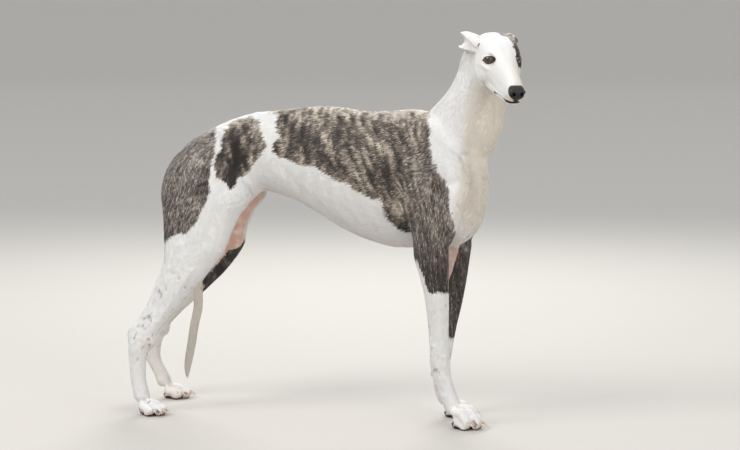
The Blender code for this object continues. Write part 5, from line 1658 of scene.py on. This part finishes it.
def grow_coat(skin, looks, shift, paint):
    """Scatters the tufts over the skin, longest on the trunk and smallest on face and feet."""
    names, part, wrap, lie, sizes, fields = looks
    points, normals = points_of(skin.data), normals_of(skin.data)
    triangles = triangles_of(skin.data)
    corners = points[triangles]
    area = np.linalg.norm(np.cross(corners[:, 1] - corners[:, 0], corners[:, 2] - corners[:, 0]), axis=1) / 2
    # Fewer tufts on bare skin, in the painted shade round the eyes, and on ink
    close = sizes[:, 2] * (1 - 0.70 * fields["pink_skin_and_shade"]) * (1 - step_up(fields["ink"], 0.2, 0.5))
    close = close * step_up(points[:, 2], 0.003, 0.010)
    smooth, edges = normals, edges_of(skin.data)
    for _ in range(3):
        smooth = mean_beside(smooth, edges)
    close = close * step_up(np.linalg.norm(smooth, axis=1), 0.55, 0.85)
    weight = area * close[triangles].mean(axis=1)
    total = np.cumsum(weight)
    rng = np.random.default_rng(SEED)
    count = TUFTS
    picked = np.searchsorted(total, rng.uniform(0, total[-1], count))
    picked = np.minimum(picked, len(triangles) - 1)
    u, v = rng.uniform(0, 1, count), rng.uniform(0, 1, count)
    over = u + v > 1
    u[over], v[over] = 1 - u[over], 1 - v[over]
    share = np.stack([1 - u - v, u, v], axis=1)
    corner = triangles[picked]

    def at(values):
        found = values[corner]
        if values.ndim == 1:
            return np.sum(found * share, axis=1)
        return np.sum(found * share[:, :, None], axis=1)

    root, normal, way = at(points), at(normals), at(lie)
    normal /= np.maximum(np.linalg.norm(normal, axis=1, keepdims=True), 1e-9)
    way += rng.normal(0, 0.13, (count, 3))
    way -= normal * np.sum(way * normal, axis=1, keepdims=True)
    way /= np.maximum(np.linalg.norm(way, axis=1, keepdims=True), 1e-9)
    across = np.cross(normal, way)
    own = part[corner[:, 0]]
    sizes = at(sizes)
    long = sizes[:, 0] * rng.uniform(0.70, 1.25, count)
    wide = sizes[:, 1] * rng.uniform(0.75, 1.25, count)
    lift = sizes[:, 3] * rng.uniform(0.65, 1.35, count)
    fringe = at(fields["fringe"])
    long *= 1 + 0.75 * fringe
    lift *= 1 + 1.1 * fringe
    # Bare skin and the painted shade round the eyes both shorten the tufts
    tuft_skin_and_shade = at(fields["pink_skin_and_shade"])
    long *= 1 - 0.45 * tuft_skin_and_shade
    base = root - normal * 0.00025
    tip = root + way * long[:, None] + normal * (long * lift)[:, None]
    left = base - across * (wide / 2)[:, None]
    right = base + across * (wide / 2)[:, None]
    crest = root + way * (long * 0.12)[:, None] + normal * (wide * 0.24)[:, None]
    turned = np.stack([normal - across * 0.30, normal + across * 0.30, normal, normal + way * 0.12], axis=1)
    turned /= np.linalg.norm(turned, axis=2, keepdims=True)
    tone = np.clip(rng.normal(0.5, 0.27, count), 0, 1)
    stored = {key: at(values) for key, values in fields.items()}
    stored["tone"] = tone
    spot = root
    streak = streak_places(root)
    pieces = {}
    for index, name in enumerate(names):
        mine = np.flatnonzero(own == index)
        order = mine[np.argsort(wrap[corner[mine, 0], 0], kind="stable")]
        chunks = max(1, math.ceil(len(order) / MOST_TUFTS_A_PIECE))
        for number, chunk in enumerate(np.array_split(order, chunks)):
            if len(chunk):
                pieces[f"coat_{name}" + (f"_{number + 1}" if chunks > 1 else "")] = chunk
    for name, chunk in pieces.items():
        size = len(chunk)
        block = np.stack([left[chunk], right[chunk], crest[chunk], tip[chunk]], axis=1).reshape(-1, 3)
        first = np.arange(size)[:, None] * 4
        faces = np.stack([first + (0, 3, 2), first + (2, 3, 1), first + (1, 3, 0), first + (0, 2, 1)], axis=1)
        mesh = mesh_of_triangles(name, block, faces.reshape(-1, 3))
        for key, values in stored.items():
            store(mesh, key, np.repeat(values[chunk], 4), "FLOAT")
        store(mesh, "spot", np.repeat(spot[chunk], 4, axis=0), "FLOAT_VECTOR")
        store(mesh, "streak", np.repeat(streak[chunk], 4, axis=0), "FLOAT_VECTOR")
        place = wrap[corner[chunk, 0]]
        low, high = place[:, 0].min(), place[:, 0].max()
        across_map = (place[:, 0] - low) / max(high - low, 1e-6)
        start = np.stack([across_map, place[:, 1]], axis=1) * (1 - 3 * BAKE_PATCH) + BAKE_PATCH
        offsets = np.array([(0.0, 0.0), (1.0, 0.0), (0.5, 0.4), (0.5, 1.0)]) * BAKE_PATCH
        uv = start[:, None, :] + offsets[None]
        layer = mesh.uv_layers.new(name="OFBake")
        loops = faces.reshape(-1)
        layer.uv.foreach_set("vector", np.ascontiguousarray(uv.reshape(-1, 2)[loops], np.float32).ravel())
        made = bpy.data.objects.new(name, mesh)
        bpy.context.collection.objects.link(made)
        finish_piece(made, paint, shift)
        mesh.normals_split_custom_set_from_vertices(turned[chunk].reshape(-1, 3))


def look_at_skin(skin):
    """Works out the lie, the unwrap and the markings, with the painted shade and light, at every point of the skin.
    """
    points, normals = points_of(skin.data), normals_of(skin.data)
    names, part, wrap, lie, sizes = follow_lines(points, normals)
    dark, pink_skin_and_shade, painted_warm_shade_and_glow, tick, ink, brindle_depth_and_top_light, pepper = traits_of(points, normals, names, part)
    even = np.stack([points[:, 0], np.abs(points[:, 1]), points[:, 2]], axis=1)
    breech = step_up(-normals[:, 0], 0.45, 0.9) * (points[:, 0] < -0.24) * step_up(points[:, 2], 0.30, 0.42)
    elbow = ease(even, (0.278, 0.080, 0.395), (0.014, 0.03, 0.026))
    tail_under = (part == names.index("tail")) * step_up(points[:, 2], 0.30, 0.14) * 0.5
    fringe = np.clip(0.8 * breech + 0.4 * elbow + tail_under, 0, 1)
    fields = {"dark": dark, "pink_skin_and_shade": pink_skin_and_shade, "painted_warm_shade_and_glow": painted_warm_shade_and_glow, "tick": tick, "ink": ink, "brindle_depth_and_top_light": brindle_depth_and_top_light}
    fields["pepper"], fields["fringe"] = pepper, fringe
    return names, part, wrap, lie, sizes, fields


def stage_and_camera(shift):
    """A pale floor that curves up far behind, and a camera at the photo's place and angle."""
    rings, around = [(3.0 * i, 0.0) for i in range(8)], 96
    rings += [(21.0 + 9.0 * math.sin(t * math.pi / 40), 9.0 - 9.0 * math.cos(t * math.pi / 40)) for t in range(1, 21)]
    points = [(0.0, 0.0, 0.0)]
    faces = []
    for i, (reach, high) in enumerate(rings[1:]):
        for k in range(around):
            turn = 2 * math.pi * k / around
            points.append((reach * math.cos(turn), reach * math.sin(turn), high))
            own, after = 1 + i * around + k, 1 + i * around + (k + 1) % around
            if i:
                faces.append((own - around, own, after, after - around))
            else:
                faces.append((0, own, after))
    mesh = bpy.data.meshes.new("floor")
    mesh.from_pydata(points, [], faces)
    mesh.shade_smooth()
    floor = bpy.data.objects.new("floor", mesh)
    bpy.context.collection.objects.link(floor)
    paint = bpy.data.materials.new("floor")
    paint.use_nodes = True
    shader = paint.node_tree.nodes["Principled BSDF"]
    shader.inputs["Base Color"].default_value = (0.52, 0.50, 0.465, 1)
    shader.inputs["Roughness"].default_value = 0.8
    mesh.materials.append(paint)

    data = bpy.data.cameras.new("camera")
    data.sensor_width = 36.0
    data.lens = CAMERA_FOCUS * data.sensor_width / IMAGE_WIDTH
    camera = bpy.data.objects.new("camera", data)
    bpy.context.collection.objects.link(camera)
    bpy.context.scene.camera = camera
    pitch = math.atan(HORIZON_DROP / CAMERA_FOCUS)
    right = Vector((math.cos(CAMERA_TURN), math.sin(CAMERA_TURN), 0))
    level = Vector((-math.sin(CAMERA_TURN), math.cos(CAMERA_TURN), 0))
    ahead = level * math.cos(pitch) - Vector((0, 0, math.sin(pitch)))
    up = right.cross(ahead)
    turned = Matrix((right, up, -ahead)).transposed().to_4x4()
    camera.matrix_world = Matrix.Translation(Vector(CAMERA_AT) + shift) @ turned
    return camera


def lamp(name, at, aim, size, power, colour):
    data = bpy.data.lights.new(name, "AREA")
    data.shape = "DISK"
    data.size = size
    data.energy = power
    data.color = colour
    made = bpy.data.objects.new(name, data)
    bpy.context.collection.objects.link(made)
    made.location = at
    made.rotation_euler = (Vector(aim) - Vector(at)).to_track_quat("-Z", "Y").to_euler()


def lights():
    world = bpy.data.worlds.new("studio")
    bpy.context.scene.world = world
    world.use_nodes = True
    background = world.node_tree.nodes["Background"]
    background.inputs["Color"].default_value = (0.95, 0.97, 1.0, 1)
    background.inputs["Strength"].default_value = 0.90
    middle = (0.0, 0.0, 0.45)
    lamp("key", (-2.2, -2.6, 3.6), middle, 2.4, 112, (1.0, 0.98, 0.95))
    lamp("fill", (3.0, -2.4, 1.6), middle, 2.6, 46, (1.0, 0.96, 0.90))
    lamp("rim", (-0.6, 2.8, 2.6), middle, 2.0, 70, (1.0, 0.99, 0.97))


def main():
    for thing in list(bpy.data.objects):
        bpy.data.objects.remove(thing, do_unlink=True)
    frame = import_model()
    low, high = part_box("eye_right")
    drawn = head_matrix() @ Vector((EYE_AT[0], -EYE_AT[1], EYE_AT[2]))
    shift = (low + high) / 2 - drawn
    skin = build_skin()
    looks = look_at_skin(skin)
    for key, values in looks[5].items():
        store(skin.data, key, values, "FLOAT")
    points = points_of(skin.data)
    store(skin.data, "tone", np.full(len(points), 0.5), "FLOAT")
    store(skin.data, "spot", points, "FLOAT_VECTOR")
    store(skin.data, "streak", streak_places(points), "FLOAT_VECTOR")
    grow_coat(skin, looks, shift, coat_material("coat", False))
    finish_piece(skin, coat_material("skin", True), shift)
    kept = ("eye", "nose", "claw")
    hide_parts(*[name for name in frame["nodes"] if not name.startswith(kept)])
    make_eyes(shift)
    make_nose(shift)
    make_claws(shift)
    make_whiskers(shift)
    bpy.context.scene.view_settings.view_transform = "Standard"
    stage_and_camera(shift)
    lights()


main()
